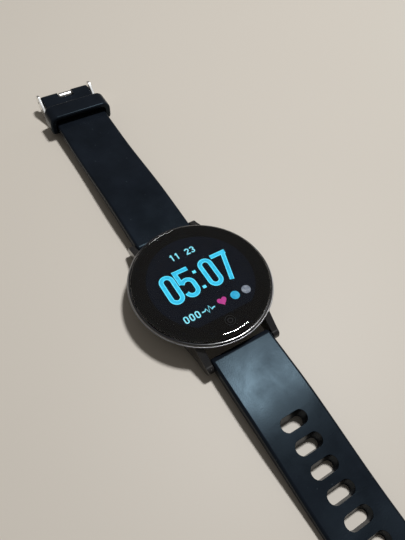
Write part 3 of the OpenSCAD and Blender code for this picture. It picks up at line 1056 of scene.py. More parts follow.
@dataclass(frozen=True)
class Datum:
    """Places that several pieces are built from, read from the frame, in mm."""

    bar_y: float
    bar_z: float
    glass_low: float
    glass_high: float
    glass_r: float
    bezel_r: float
    rim_z: float
    board_z: float
    strap_half: float
    pin_y: float
    pin_z: float

    @classmethod
    def read(cls) -> "Datum":
        """Read the places from the frame.

        Returns:
            The places in mm.
        """
        bar_low, bar_high = span("spring_bar_12")
        glass_low, glass_high = span("front_glass")
        bezel = span("bezel_ring")[1]
        pin_low, pin_high = span("buckle_bar")
        return cls(
            bar_y=(bar_low.y + bar_high.y) / 2, bar_z=(bar_low.z + bar_high.z) / 2,
            glass_low=glass_low.z, glass_high=glass_high.z, glass_r=glass_high.x,
            bezel_r=bezel.x, rim_z=bezel.z, board_z=span("main_board")[0].z,
            strap_half=span("strap_long")[1].x,
            pin_y=(pin_low.y + pin_high.y) / 2, pin_z=(pin_low.z + pin_high.z) / 2)


# ---- Case --------------------------------------------------------------------------------


@dataclass
class Case:
    """The black case with its four lugs, the bezel and the cover glass."""

    datum: Datum
    flank_low: float = 0.6
    flank_r: float = 17.9
    top_r: float = 21.6
    open_r: float = 17.0
    ledge_r: float = 15.9
    cavity_r: float = 17.6
    upper_r: float = 19.0
    spigot_r: float = 19.6
    lug_in: float = 10.2
    lug_out: float = 12.3
    lug_r: float = 1.7
    bezel_z: float = 7.7
    ledge_z: float = 1.6
    step_z: float = 6.0
    screw_circle: float = 15.2
    boss_r: float = 1.5
    boss_h: float = 3.0
    bore_r: float = 0.72
    bar_hole_r: float = 0.55
    bar_hole_l: float = 2.3

    def lug(self, name: str) -> bpy.types.Object:
        """Shape the 12 o'clock right lug with soft edges.

        Args:
            name: The lug's name.

        Returns:
            The lug.
        """
        y, z = self.datum.bar_y, self.datum.bar_z
        tip = [(y + self.lug_r * math.sin(t), z - self.lug_r * math.cos(t))
               for t in (math.pi * i / 16 for i in range(17))]
        side = [(self.top_r - 10, self.flank_low + 0.4), *tip,
                (self.top_r - 4, self.bezel_z - 0.3), (self.top_r - 10, self.bezel_z - 0.3)]
        lug = drawn_out(name, side, self.lug_in - 3, self.lug_out + 6)
        plan = [(self.lug_in, self.top_r - 9), (self.lug_out + 1.2, self.top_r - 9),
                (self.lug_out + 0.4, self.top_r - 4.2), (self.lug_out + 0.2, self.top_r - 1.2),
                (self.lug_out, y + self.lug_r - 0.6), (self.lug_out - 0.6, y + self.lug_r + 1),
                (self.lug_in, y + self.lug_r + 1)]
        cut(lug, drawn_out("plan", plan, -1, 12, Axis.Z), Cut.KEEP)
        soften(lug, 0.32, 3, 28)
        return lug

    def shell(self) -> bpy.types.Object:
        """Turn the case, add lugs and screw bosses, and bore it.

        Returns:
            The case shell.
        """
        flank = [(self.flank_r + (self.top_r - self.flank_r) * t ** 0.8,
                  self.flank_low + (self.bezel_z - self.flank_low) * t)
                 for t in (i / 14 for i in range(15))]
        section = [(self.open_r, self.flank_low), (self.flank_r - 0.25, self.flank_low), *flank[1:-1],
                   (self.top_r, self.bezel_z - 0.15), (self.top_r - 0.15, self.bezel_z),
                   (self.spigot_r, self.bezel_z),
                   (self.spigot_r, self.bezel_z - 0.5), (self.upper_r, self.bezel_z - 0.5),
                   (self.upper_r, self.step_z), (self.cavity_r, self.step_z),
                   (self.cavity_r, self.datum.board_z), (self.ledge_r, self.datum.board_z),
                   (self.ledge_r, self.ledge_z), (self.open_r, self.ledge_z)]
        case = turned("case_shell", section, 160)
        inner = rod("inner", self.upper_r, (0, 0, -1), 20, Axis.Z, 96)
        first = self.lug("lug")
        for side in (1, -1):
            for end in (1, -1):
                lug = copied(first, "lug_copy")
                if side < 0 or end < 0:
                    scaled(lug, (side, end, 1))
                cut(lug, copied(inner, "inner_copy"))
                cut(case, lug, Cut.ADD)
        bpy.data.objects.remove(first)
        bpy.data.objects.remove(inner)
        for angle in (30, 150, 210, 330):
            x = self.screw_circle * math.cos(math.radians(angle))
            y = self.screw_circle * math.sin(math.radians(angle))
            cut(case, rod("boss", self.boss_r, (x, y, self.ledge_z), self.boss_h, Axis.Z, 32), Cut.ADD)
            cut(case, rod("bore", self.bore_r, (x, y, self.ledge_z - 1), self.boss_h + 0.6, Axis.Z, 24))
        for end in (1, -1):
            for start in (self.lug_in - 1, 1 - self.lug_in - self.bar_hole_l):
                cut(case, rod("bar_hole", self.bar_hole_r, (start, end * self.datum.bar_y,
                                                           self.datum.bar_z),
                              self.bar_hole_l, Axis.X, 24))
        return clean(case)

    def bezel(self) -> tuple[bpy.types.Object, bpy.types.Object]:
        """Turn the bezel and the bright line round its widest part.

        Returns:
            The bezel and its line.
        """
        r, top = self.datum.bezel_r, self.datum.rim_z
        lip = self.datum.glass_r + 0.1
        body = turned("bezel_band", [
            (self.upper_r, self.bezel_z - 0.5), (self.spigot_r - 0.03, self.bezel_z - 0.5),
            (self.spigot_r - 0.03, self.bezel_z), (self.top_r - 0.1, self.bezel_z),
            (r - 0.2, self.bezel_z + 0.22), (r - 0.2, self.bezel_z + 0.62),
            (r - 0.38, top - 0.22), (r - 0.5, top - 0.06), (r - 0.62, top), (lip + 0.1, top),
            (lip, top - 0.1), (lip, self.bezel_z + 1.0), (self.upper_r, self.bezel_z + 1.0)], 160)
        line = turned("bezel_line", [
            (r - 0.3, self.bezel_z + 0.24), (r - 0.12, self.bezel_z + 0.24),
            (r, self.bezel_z + 0.36), (r, self.bezel_z + 0.46), (r - 0.16, self.bezel_z + 0.64),
            (r - 0.3, self.bezel_z + 0.64)], 160)
        return clean(body), clean(line)

    def glass(self) -> bpy.types.Object:
        """Turn the cover glass with its rounded rim.

        Returns:
            The cover glass.
        """
        low, high, r = self.datum.glass_low + 0.16, self.datum.glass_high, self.datum.glass_r
        edge = low + 0.3
        rim = [(r - 1.6 * (1 - math.cos(t)), edge + (high - edge) * math.sin(t))
               for t in (math.pi / 2 * i / 14 for i in range(15))]
        section = [(0, low), (r * 0.5, low), (r - 0.15, low), (r, low + 0.1), *rim,
                   (r - 1.75, high), (r * 0.7, high), (r * 0.4, high), (0, high)]
        return clean(turned("cover_glass", section, 256), 40)

    def build(self) -> None:
        """Build and hand over the case's pieces."""
        hand_over(self.shell(), "case_black", "case", "case_black", "case_body")
        body, line = self.bezel()
        hand_over(body, "bezel_black", "case", "bezel_black", "bezel_ring")
        hand_over(line, "bezel_line", "case", "bezel_black")
        hand_over(self.glass(), "cover_glass", "case", "cover_glass", "front_glass")


# ---- Display -----------------------------------------------------------------------------


class Glyph(Enum):
    """Numerals that the display shows."""

    ZERO = "0"
    ONE = "1"
    TWO = "2"
    THREE = "3"
    FIVE = "5"
    SEVEN = "7"


def arc(centre: Pair, radii: Pair, start: float, end: float, steps: int = 10) -> list[Pair]:
    """Lay points on an elliptical arc.

    Args:
        centre: Its middle.
        radii: Its radii along the first and the second axis.
        start: Where it starts, in degrees from +X.
        end: Where it ends.
        steps: Number of sides.

    Returns:
        The points.
    """
    return [(centre[0] + radii[0] * math.cos(math.radians(start + (end - start) * i / steps)),
             centre[1] + radii[1] * math.sin(math.radians(start + (end - start) * i / steps)))
            for i in range(steps + 1)]


@dataclass(frozen=True)
class Numeral:
    """One numeral as strokes, in mm: its lower left corner, its size and its line width."""

    glyph: Glyph
    x: float
    y: float
    width: float
    height: float
    line: float

    def paths(self) -> list[tuple[list[Pair], bool]]:
        """Middle lines of the numeral's strokes and whether each is closed.

        Returns:
            The strokes.
        """
        half = self.line / 2
        w, h = self.width - self.line, self.height - self.line
        left, low = self.x + half, self.y + half
        right, top, mid = left + w, low + h, left + w / 2
        r = w / 2
        if self.glyph is Glyph.ZERO:
            return [(arc((mid, top - r), (r, r), 0, 180) + arc((mid, low + r), (r, r), 180, 360), True)]
        if self.glyph is Glyph.ONE:
            return [([(mid, top + half), (mid, low - half)], False),
                    ([(mid, top), (left, top - h * 0.22)], False)]
        if self.glyph is Glyph.TWO:
            return [(arc((mid, top - r), (r, r), 170, -20) + [(left, low)], False),
                    ([(left - half * 0.6, low), (right + half, low)], False)]
        if self.glyph is Glyph.THREE:
            q = h / 4
            return [(arc((mid, top - q), (r, q), 160, -90), False),
                    (arc((mid, low + q), (r, q), 90, -160), False)]
        if self.glyph is Glyph.FIVE:
            bowl = h * 0.62
            return [([(right + half, top), (left - half, top)], False),
                    ([(left, top), (left, low + h * 0.52)], False),
                    (arc((mid, low + bowl - r), (r, r), 158, 0)
                     + arc((mid, low + r), (r, r), 0, -172), False)]
        return [([(left - half, top), (right + half, top)], False),
                ([(right - half * 0.2, top), (left + w * 0.24, self.y)], False)]

    def shape(self, name: str, low: float, high: float, thin: float = 0.0) -> list[bpy.types.Object]:
        """Draw the numeral's strokes.

        Args:
            name: First part of the strokes' names.
            low: Height of the strokes' underside.
            high: Height of their top.
            thin: How much narrower than the line they are.

        Returns:
            The strokes.
        """
        return [stroke(f"{name}_{i}", path, self.line - thin, low, high, closed)
                for i, (path, closed) in enumerate(self.paths())]


@dataclass
class Display:
    """The lit picture under the glass, the black print round it and the touch key's mark."""

    datum: Datum
    open_r: float = 16.3
    open_low: float = -13.6
    key_y: float = -15.9
    lit_low: float = 0.012
    lit_high: float = 0.03
    core_thin: float = 0.5
    small_line: float = 0.42
    icon_r: float = 1.4

    def time(self) -> list[Numeral]:
        """Lay out the numerals of the time.

        Returns:
            The numerals.
        """
        places = ((Glyph.ZERO, -11.84, 4.85), (Glyph.FIVE, -6.75, 5.1), (Glyph.ZERO, 1.45, 4.85),
                  (Glyph.SEVEN, 6.6, 5.3))
        return [Numeral(glyph, x, -4.4, width, 10.7, 1.45) for glyph, x, width in places]

    def row(self, text: str, x: float, y: float, size: Pair, line: float, step: float) -> list[Numeral]:
        """Lay out a short row of numerals.

        Args:
            text: The numerals; a space leaves a gap.
            x: Left end of the row.
            y: Foot of the row.
            size: Width and height of a numeral.
            line: Line width.
            step: Distance from one numeral to the next.

        Returns:
            The numerals.
        """
        return [Numeral(Glyph(t), x + i * step, y, size[0], size[1], line)
                for i, t in enumerate(text) if t != " "]

    def numerals(self, name: str, row: Sequence[Numeral], low: float, high: float,
                 thin: float = 0.0) -> bpy.types.Object:
        """Draw a row of numerals as one piece.

        Args:
            name: The piece's name.
            row: The numerals.
            low: Height of the piece's underside.
            high: Height of its top.
            thin: How much narrower than their lines the strokes are.

        Returns:
            The piece.
        """
        strokes = [s for i, n in enumerate(row) for s in n.shape(f"{name}_{i}", low, high, thin)]
        return clean(joined(name, strokes), 60)

    def disc(self, name: str, centre: Pair, radius: float, low: float, high: float) -> bpy.types.Object:
        """Make a thin round icon with a softened rim.

        Args:
            name: The icon's name.
            centre: Its middle.
            radius: Its radius in mm.
            low: Height of its underside.
            high: Height of its top.

        Returns:
            The icon.
        """
        piece = rod(name, radius, (*centre, low), high - low, Axis.Z, 40)
        round_edges(piece, (high - low) * 0.4, 2, lambda m, d: abs(d.z) < 0.1 and m.z > high - 1e-3)
        return clean(piece)

    def heart(self, name: str, centre: Pair, size: float, low: float, high: float) -> bpy.types.Object:
        """Make a thin heart icon.

        Args:
            name: The icon's name.
            centre: Its middle.
            size: Its width in mm.
            low: Height of its underside.
            high: Height of its top.

        Returns:
            The icon.
        """
        outline = []
        for i in range(40):
            t = math.tau * i / 40
            x = 16 * math.sin(t) ** 3
            y = 13 * math.cos(t) - 5 * math.cos(2 * t) - 2 * math.cos(3 * t) - math.cos(4 * t)
            outline.append((centre[0] + x * size / 32, centre[1] + y * size / 32))
        return clean(drawn_out(name, outline, low, high, Axis.Z))

    def print_layer(self) -> bpy.types.Object:
        """Turn the black print on the back of the glass and open it over the display.

        Returns:
            The print.
        """
        z, r = self.datum.glass_low, self.datum.glass_r
        piece = turned("glass_print", [(0, z + 0.02), (r - 0.3, z + 0.02), (r - 0.3, z + 0.06),
                                       (0, z + 0.06)])
        side = math.degrees(math.asin(self.open_low / self.open_r))
        opening = arc((0, 0), (self.open_r, self.open_r), side, 180 - side, 96)
        cut(piece, drawn_out("opening", opening, z, z + 0.2, Axis.Z))
        return clean(piece)

    def build(self) -> None:
        """Build and hand over the display's pieces."""
        z = self.datum.glass_low
        low, high = z + self.lit_low, z + self.lit_high
        hand_over(self.print_layer(), "print_black", "case", "display")
        hand_over(self.numerals("time_digits", self.time(), low, high), "digit_edge", "case", "display")
        cores = self.numerals("time_cores", self.time(), high + 0.002, high + 0.014, self.core_thin)
        hand_over(cores, "digit_core", "case", "display")
        dot = block("colon_0", (-0.95, 2.84, low), (0.15, 3.84, high))
        soften(dot, 0.006, 2)
        colon = joined("time_colon", [dot, moved(copied(dot, "colon_1"), (0, -6.04, 0))])
        hand_over(clean(colon), "digit_edge", "case", "display")
        date = self.row("11 23", -4.4, 9.77, (1.5, 2.38), self.small_line, 1.75)
        hand_over(self.numerals("date_digits", date, low, high), "text_glow", "case", "display")
        pulse = self.row("000", -11.44, -11.0, (1.45, 2.4), self.small_line, 1.85)
        hand_over(self.numerals("pulse_digits", pulse, low, high), "text_glow", "case", "display")
        trace = [(-5.6, -9.9), (-4.6, -9.9), (-4.15, -9.3), (-3.6, -10.9), (-2.95, -8.75), (-2.4, -10.3),
                 (-2.05, -9.9), (-1.3, -9.9)]
        hand_over(clean(stroke("pulse_trace", trace, 0.4, low, high), 60), "text_glow", "case", "display")
        hand_over(self.heart("heart_icon", (1.53, -9.4), 3.0, low, high), "heart_glow", "case", "display")
        for name, centre, look in (("blue_icon", (5.89, -9.54), "dot_glow"),
                                   ("grey_icon", (9.85, -9.44), "grey_glow")):
            hand_over(self.disc(name, centre, self.icon_r, low, high), look, "case", "display")
        rings = [turned(f"key_ring_{i}", [(r, z + 0.086), (r + w, z + 0.086), (r + w, z + 0.094),
                                          (r, z + 0.094)], 64) for i, (r, w) in
                 enumerate(((1.45, 0.16), (0.55, 0.3)))]
        for ring in rings:
            moved(ring, (0.05, self.key_y, 0))
        hand_over(clean(joined("key_mark", rings)), "key_mark", "case", "display")


# ---- Straps ------------------------------------------------------------------------------


@dataclass
class Strap:
    """One half of the strap in its own line: distance from the spring bar and height."""

    datum: Datum
    low: float = -3.3
    thick: float = 2.9
    knuckle_r: float = 1.9
    bore_r: float = 0.95
    level: float = 14.0
    settle_by: float = 52.0
    edge: float = 0.9

    def settled(self, share: float, start: float, end: float) -> Pair:
        """Place a point of the side view between the level part and the ground.

        Args:
            share: Share of the way down.
            start: Height that it starts from.
            end: Height that it comes down to.

        Returns:
            The point.
        """
        return (self.level + (self.settle_by - self.level) * share,
                start + (end - start) * share * share * (3 - 2 * share))

    def side(self, end: Sequence[Pair]) -> list[Pair]:
        """Side outline from the knuckle to a given end.

        Args:
            end: Points that close the far end, from low to high.

        Returns:
            The outline.
        """
        knuckle = [(self.knuckle_r * math.sin(t), self.knuckle_r * math.cos(t))
                   for t in (-math.pi * i / 20 for i in range(21))]
        under = [self.settled(i / 14, -self.knuckle_r, self.low) for i in range(15)]
        over = [self.settled(i / 14, self.knuckle_r, self.low + self.thick)
                for i in range(14, -1, -1)]
        return [*knuckle, *under, *end, *over]

    def solid(self, name: str, end: Sequence[Pair]) -> bpy.types.Object:
        """Draw the side outline across the strap.

        Args:
            name: The piece's name.
            end: Points that close the far end, from low to high.

        Returns:
            The solid.
        """
        half = self.datum.strap_half
        return drawn_out(name, self.side(end), -half, half)

    def bore(self, piece: bpy.types.Object, radius: float, u: float = 0.0, z: float = 0.0) -> None:
        """Drill a hole across the whole strap.

        Args:
            piece: The strap.
            radius: The hole's radius in mm.
            u: Its distance from the spring bar.
            z: Its height.
        """
        half = self.datum.strap_half
        cut(piece, rod("bore", radius, (-half - 2, u, z), 2 * half + 4, Axis.X, 32))

    def lay(self, piece: bpy.types.Object, side: int, lift: float = 0.0) -> bpy.types.Object:
        """Put a strap from its own line in its place on the case.

        Args:
            piece: The strap.
            side: 1 for the 12 o'clock half and -1 for the 6 o'clock half.
            lift: Angle that it rises by, in degrees.

        Returns:
            The strap in its place.
        """
        if side < 0:
            scaled(piece, (1, -1, 1))
        if lift:
            tilted(piece, lift)
        return moved(piece, (0, side * self.datum.bar_y, self.datum.bar_z))


@dataclass
class LongStrap(Strap):
    """The 6 o'clock half, tapered and rounded, with its row of slots."""

    length: float = 115.0
    tip_half: float = 9.0
    slots: int = 12
    first: float = 24.0
    pitch: float = 6.5
    slot_l: float = 7.2
    slot_w: float = 3.2
    draft: float = 1.0
    lip: float = 0.22
    lip_under: float = 0.18

    def slot_tool(self, u: float) -> bpy.types.Object:
        """Shape what cuts one slot: it narrows from the top of the strap to its underside.

        Args:
            u: Distance of the slot from the spring bar.

        Returns:
            The cutting solid.
        """
        tool = drawn_out("slot", stadium(self.slot_l, self.slot_w, (0, u)), self.low - 1,
                         self.knuckle_r + 1, Axis.Z)
        high = self.settled(min(1, max(0, (u - self.level) / (self.settle_by - self.level))),
                            self.knuckle_r, self.low + self.thick)[1]
        grow = self.draft * (self.knuckle_r + 1 - self.low) / (high - self.low)
        for way, more in ((1, grow), (-1, -self.draft * 0.9)):
            pick_faces(tool, lambda m, n, w=way: n.z * w > 0.9)
            with editing(tool, whole=False):
                bpy.ops.transform.resize(
                    value=(1 + more / self.slot_l, 1 + more / self.slot_w, 1),
                    center_override=Vector((0, u, 0)) * MM)
        return tool

    def build(self) -> None:
        """Build and hand over the strap."""
        top = self.low + self.thick
        half = self.datum.strap_half
        piece = self.solid("strap_long_soft", [(self.length, self.low), (self.length, top)])
        end_u = self.length - self.tip_half
        tip = [(self.tip_half * math.cos(t), end_u + self.tip_half * math.sin(t))
               for t in (math.pi * i / 32 for i in range(33))]
        plan = [(-half - 1e-3, -4), (half + 1e-3, -4), (half + 1e-3, self.level), *tip,
                (-half - 1e-3, self.level)]
        cut(piece, drawn_out("plan", plan, -8, 8, Axis.Z), Cut.KEEP)
        soften(piece, self.edge, 4, 50)
        self.bore(piece, self.bore_r)
        for i in range(self.slots):
            cut(piece, self.slot_tool(self.first + i * self.pitch))
        first, last = self.first - 3, self.first + (self.slots - 1) * self.pitch + 3
        reach = self.slot_l / 2 + 1.2
        for way, width, steps in ((1, self.lip, 4), (-1, self.lip_under, 2)):
            round_edges(piece, width, steps, lambda m, d, w=way: abs(m.x) < reach
                        and first < m.y < last and (m.z + 1.5) * w > 0 and abs(d.z) < 0.4, 50)
        self.lay(piece, -1)
        hand_over(clean(piece), "strap_silicone", "strap_long", "strap_silicone", "strap_long")


@dataclass
class ShortStrap(Strap):
    """The 12 o'clock half, with its buckle end and the notch for the tang."""

    length: float = 83.5
    lift: float = 2.5
    end_r: float = 1.75
    notch_half: float = 3.0
    notch_round: float = 0.5
    pin_hole: float = 0.75

    def build(self) -> None:
        """Build and hand over the strap."""
        top = self.low + self.thick
        mid = self.low + self.thick / 2
        nose = [(self.length + self.end_r * math.cos(t), mid + self.end_r * math.sin(t))
                for t in (math.pi * (i / 16 - 0.5) for i in range(17))]
        end = [(self.length - 6, self.low), (self.length - 3, mid - self.end_r + 0.14), *nose,
               (self.length - 3, mid + self.end_r - 0.14), (self.length - 6, top)]
        piece = self.solid("strap_short_soft", end)
        soften(piece, self.edge, 4, 60)
        self.bore(piece, self.bore_r)
        self.bore(piece, self.pin_hole, self.length, mid)
        start = self.length - self.end_r - 1.0
        notch = block("notch", (-self.notch_half, start, mid - 5), (self.notch_half, start + 8, mid + 5))
        round_edges(notch, self.notch_round, 4, lambda m, d: abs(d.z) > 0.9 and m.y < start + 0.1)
        cut(piece, notch)
        self.lay(piece, 1, self.lift)
        hand_over(clean(piece), "strap_silicone", "strap_short", "strap_silicone", "strap_short")


@dataclass
class Keeper(Strap):
    """The loop that holds the free end of the long strap."""

    middle: float = 70.2
    length: float = 7.5
    inner_half: float = 10.2
    outer_half: float = 12.3
    inner_low: float = -3.45
    inner_top: float = 1.6
    outer_low: float = -4.65
    outer_top: float = 3.1
    crown_round: float = 3.2
    corner_round: float = 1.6
    rim_round: float = 0.72
    foot_round: float = 0.4
    mouth_round: float = 0.3
    lift: float = 2.5

    def build(self) -> None:
        """Build and hand over the loop."""
        a, b = self.middle - self.length / 2, self.middle + self.length / 2
        loop = block("keeper_loop", (-self.outer_half, a, self.outer_low),
                     (self.outer_half, b, self.outer_top))
        round_edges(loop, self.crown_round, 9, lambda m, d: abs(d.y) > 0.9 and m.z > 0)
        round_edges(loop, self.corner_round, 6,
                    lambda m, d: abs(d.y) > 0.9 and m.z < self.outer_low + 0.1)
        round_edges(loop, self.rim_round, 6, lambda m, d: abs(d.y) < 0.1
                    and (abs(m.y - a) < TOUCH or abs(m.y - b) < TOUCH))
        hole = block("hole", (-self.inner_half, a - 5, self.inner_low),
                     (self.inner_half, b + 5, self.inner_top))
        round_edges(hole, self.corner_round, 6, lambda m, d: abs(d.y) > 0.9 and m.z > 0)
        round_edges(hole, self.foot_round, 3,
                    lambda m, d: abs(d.y) > 0.9 and m.z < self.inner_low + 0.1)
        cut(loop, hole)
        reach = self.inner_half + 0.05
        round_edges(loop, self.mouth_round, 3, lambda m, d: abs(d.y) < 0.1 and abs(m.x) < reach
                    and self.inner_low - 0.05 < m.z < self.inner_top + 0.05
                    and (abs(m.y - a) < TOUCH or abs(m.y - b) < TOUCH))
        self.lay(loop, 1, self.lift)
        hand_over(clean(loop), "strap_silicone", "strap_keeper", "strap_silicone", "strap_keeper")


# ---- Buckle ------------------------------------------------------------------------------


@dataclass
class Buckle:
    """The folded pin buckle: frame, pin and tang."""

    datum: Datum
    arm_in: float = 10.25
    arm_out: float = 11.15
    cross: float = 12.2
    cross_w: float = 2.2
    thick: float = 1.45
    lobe_r: float = 2.8
    tang_w: float = 5.0
    tang_t: float = 0.7
    hub_r: float = 1.5
    pin_r: float = 0.7
    pin_hole: float = 0.75

    def frame(self) -> bpy.types.Object:
        """Shape the two arms with their lobes and the cross bar.

        Returns:
            The buckle frame.
        """
        y, z = self.datum.pin_y, self.datum.pin_z
        cross_y = y - self.cross
        lobe = [(y + self.lobe_r * math.cos(math.radians(t)), z + self.lobe_r * math.sin(math.radians(t)))
                for t in range(-78, 102, 12)]
        side = [(cross_y - 0.9, 0.0), (y - 6.2, 0.0), *lobe,
                (y - 0.6, z + self.lobe_r - 0.1), (y - 8.9, self.thick + 0.1),
                (y - 9.4, self.thick),
                (cross_y - 0.9, self.thick)]
        piece = drawn_out("buckle_bow", side, -self.arm_out, -self.arm_in)
        far = drawn_out("far_arm", side, self.arm_in, self.arm_out)
        bar = block("cross_bar", (-self.arm_out, cross_y - self.cross_w / 2, 0),
                    (self.arm_out, cross_y + self.cross_w / 2, self.thick))
        cut(bar, block("rest", (-self.tang_w * 0.3 - 0.2, cross_y - 3, -1),
                       (self.tang_w * 0.3 + 0.2, cross_y + 3, self.tang_t + 0.05)))
        cut(piece, far, Cut.ADD)
        cut(piece, bar, Cut.ADD)
        soften(piece, 0.2, 3, 30)
        return clean(piece)

    def tang(self) -> bpy.types.Object:
        """Shape the tang: a hub round the pin and a flat blade.

        Returns:
            The tang.
        """
        y, z = self.datum.pin_y, self.datum.pin_z
        cross_y, half, hub = y - self.cross, self.tang_w / 2, self.hub_r
        piece = rod("buckle_prong", hub, (-half, y, z), 2 * half, Axis.X, 48)
        round_edges(piece, 0.22, 3, lambda m, d: abs(abs(m.x) - half) < TOUCH and abs(d.x) < 0.1)
        foot = cross_y - self.cross_w / 2 - 0.6
        blade = drawn_out("blade", [
            (foot, 0.05), (y - 5.4, 0.05), (y + 0.2, z - hub + 0.1), (y - 1.35, z - 0.8),
            (y - 6.0, self.tang_t), (cross_y, self.tang_t), (foot, self.tang_t - 0.15)],
            -self.tang_w * 0.3, self.tang_w * 0.3)
        soften(blade, 0.14, 2, 40)
        cut(piece, blade, Cut.ADD)
        cut(piece, rod("pin_hole", self.pin_hole, (-5, y, z), 10, Axis.X, 32))
        return clean(piece)

    def pin(self) -> bpy.types.Object:
        """Shape the pin with its slightly domed ends.

        Returns:
            The pin.
        """
        piece = rod("buckle_pin", self.pin_r, (-self.arm_out, self.datum.pin_y, self.datum.pin_z),
                    2 * self.arm_out, Axis.X, 32)
        round_edges(piece, 0.2, 3, lambda m, d: abs(abs(m.x) - self.arm_out) < TOUCH
                    and abs(d.x) < 0.1)
        return clean(piece)

    def build(self) -> None:
        """Build and hand over the buckle's pieces."""
        hand_over(self.frame(), "steel", "buckle", "steel", "buckle_frame")
        hand_over(self.pin(), "steel", "buckle", "steel", "buckle_bar")
        hand_over(self.tang(), "steel", "tang", "steel", "buckle_tang")


# ---- Springs of the spring bars ----------------------------------------------------------


@dataclass(frozen=True)
class BarSprings:
    """Each bar's spring, in two halves that the plungers push to the middle."""

    datum: Datum
    wire: float = 0.12
    turns: int = 11
    travel: float = 1.3

    def half(self, coil: float, reach: float) -> bpy.types.Object:
        """Wind half a spring along the X axis, from the middle outwards.

        Args:
            coil: Radius of the wire's middle line in mm.
            reach: How far the half reaches; a negative one goes to the left.

        Returns:
            The half.
        """
        settle()
        bpy.ops.mesh.primitive_circle_add(vertices=8, radius=self.wire * MM,
                                          location=(0, coil * MM, 0))
        piece = named("spring_half")
        steps = self.turns * 16
        modify(piece, "SCREW", axis="X", angle=math.tau * self.turns, screw_offset=reach * MM,
               steps=steps, render_steps=steps)
        with editing(piece):
            bpy.ops.mesh.fill_holes(sides=0)
        return piece

    def build(self) -> None:
        """Build and hand over the halves of both springs."""
        low, high = span("bar_spring_12")
        coil, reach = (high.z - low.z) / 2 - self.wire, high.x - self.wire
        halves = {word: self.half(coil, side * reach) for side, word in ((-1, "left"), (1, "right"))}
        for end, hour in ((1, "12"), (-1, "6")):
            place = (0, end * self.datum.bar_y, self.datum.bar_z)
            for word, half in halves.items():
                piece = copied(half, f"spring_{hour}_{word}")
                clean(moved(piece, place), 60)
                hand_over(piece, "steel", "case", "steel", f"bar_spring_{hour}")
                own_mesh(piece)
        for half in halves.values():
            bpy.data.objects.remove(half)


# ---- Inside ------------------------------------------------------------------------------


@dataclass
class Inside:
    """The CAD nodes that keep their shape, with the finish of their own material slot."""

    looks: dict[str, str] = field(default_factory=lambda: {"display": "panel_glow"})

    def dress(self) -> None:
        """Give each shown node the finish that its material slot stands for."""
        for name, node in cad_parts.items():
            if node.hide_render:
                continue
            slot = node.material_slots[0].material.name.split(".")[0]
            look = self.looks.get(slot, slot)
            for place in node.material_slots:
                place.material = finish(look)
            LOG.info("%s: finish %s", name, look)


# ---- Surroundings ------------------------------------------------------------------------


@dataclass(frozen=True)
class Lamp:
    """A soft round light that faces the watch, at a place in metres."""

    name: str
    place: Place
    size: float
    power: float
    colour: Colour = (1.0, 1.0, 1.0)

    def build(self) -> None:
        """Hang the light and turn it to the watch."""
        way = Vector(self.place)
        lamp = bpy.data.lights.new(self.name, "AREA")
        lamp.shape = "DISK"
        lamp.size = self.size
        lamp.energy = self.power
        lamp.color = self.colour
        lit = bpy.data.objects.new(self.name, lamp)
        lit.location = way
        lit.rotation_euler = way.to_track_quat("Z", "Y").to_euler()
        bpy.context.scene.collection.objects.link(lit)


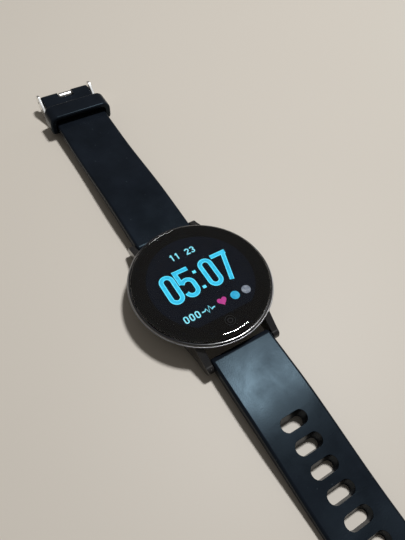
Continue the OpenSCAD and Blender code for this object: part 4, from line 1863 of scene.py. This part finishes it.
@dataclass(frozen=True)
class Studio:
    """Pale floor, soft light and the camera."""

    eye: Place = (-46.82, -65.24, 128.32)
    azimuth: float = -35.79
    height: float = 54.86
    roll: float = 5.48
    lens: float = 32.166
    sky: Colour = (1.0, 0.96, 0.90)
    sky_strength: float = 0.13
    ground: Colour = (0.67, 0.61, 0.53)
    ground_second: Colour = (0.70, 0.64, 0.56)

    def floor(self) -> None:
        """Lay the plain pale floor."""
        settle()
        bpy.ops.mesh.primitive_plane_add(size=3.0)
        ground = named("floor")
        material = bpy.data.materials.new("floor_pale")
        material.use_nodes = True
        made = Tree(material.node_tree)
        shader = next(n for n in made.tree.nodes if n.type == "BSDF_PRINCIPLED")
        tone = made.spread(made.noise(made.place(), 6, 2), 0, 1)
        made.link(made.blend(tone, self.ground, self.ground_second), shader.inputs["Base Color"])
        shader.inputs["Roughness"].default_value = 0.55
        ground.data.materials.append(material)
        ground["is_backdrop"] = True

    def light(self) -> None:
        """Set the soft studio light."""
        world = bpy.data.worlds.new("studio")
        bpy.context.scene.world = world
        world.use_nodes = True
        back = world.node_tree.nodes["Background"]
        back.inputs["Color"].default_value = (*self.sky, 1)
        back.inputs["Strength"].default_value = self.sky_strength
        Lamp("key", (0.298, 0.150, 0.82), 0.13, 6.1, (0.97, 0.985, 1.0)).build()
        Lamp("glint", (0.88, 0.47, 0.13), 0.05, 0.25, (0.65, 0.92, 1.0)).build()
        bpy.context.scene.view_settings.view_transform = "Standard"

    def camera(self) -> None:
        """Place the camera."""
        a, e, r = (math.radians(v) for v in (self.azimuth, self.height, self.roll))
        back = Vector((math.sin(a) * math.cos(e), -math.cos(a) * math.cos(e), math.sin(e)))
        level = Vector((0, 0, 1)).cross(back).normalized()
        up = back.cross(level)
        right = level * math.cos(r) + up * math.sin(r)
        upright = up * math.cos(r) - level * math.sin(r)
        turn = Matrix((right, upright, back)).transposed().to_4x4()
        data = bpy.data.cameras.new("view")
        data.lens = self.lens
        data.sensor_width = 36
        data.clip_start, data.clip_end = 0.005, 20
        eye = bpy.data.objects.new("view", data)
        eye.matrix_world = Matrix.Translation(Vector(self.eye) * MM) @ turn
        bpy.context.scene.collection.objects.link(eye)
        bpy.context.scene.camera = eye

    def build(self) -> None:
        """Build the surroundings."""
        self.camera()
        self.floor()
        self.light()


def main() -> None:
    """Build the watch piece by piece and report each one."""
    logging.basicConfig(level=logging.INFO, format="%(name)s: %(message)s")
    Studio().build()
    datum = Datum.read()
    LOG.info("datum: %s", datum)
    Case(datum).build()
    Display(datum).build()
    LongStrap(datum).build()
    ShortStrap(datum).build()
    Keeper(datum).build()
    Buckle(datum).build()
    BarSprings(datum).build()
    Inside().dress()


if __name__ == "__main__":
    main()
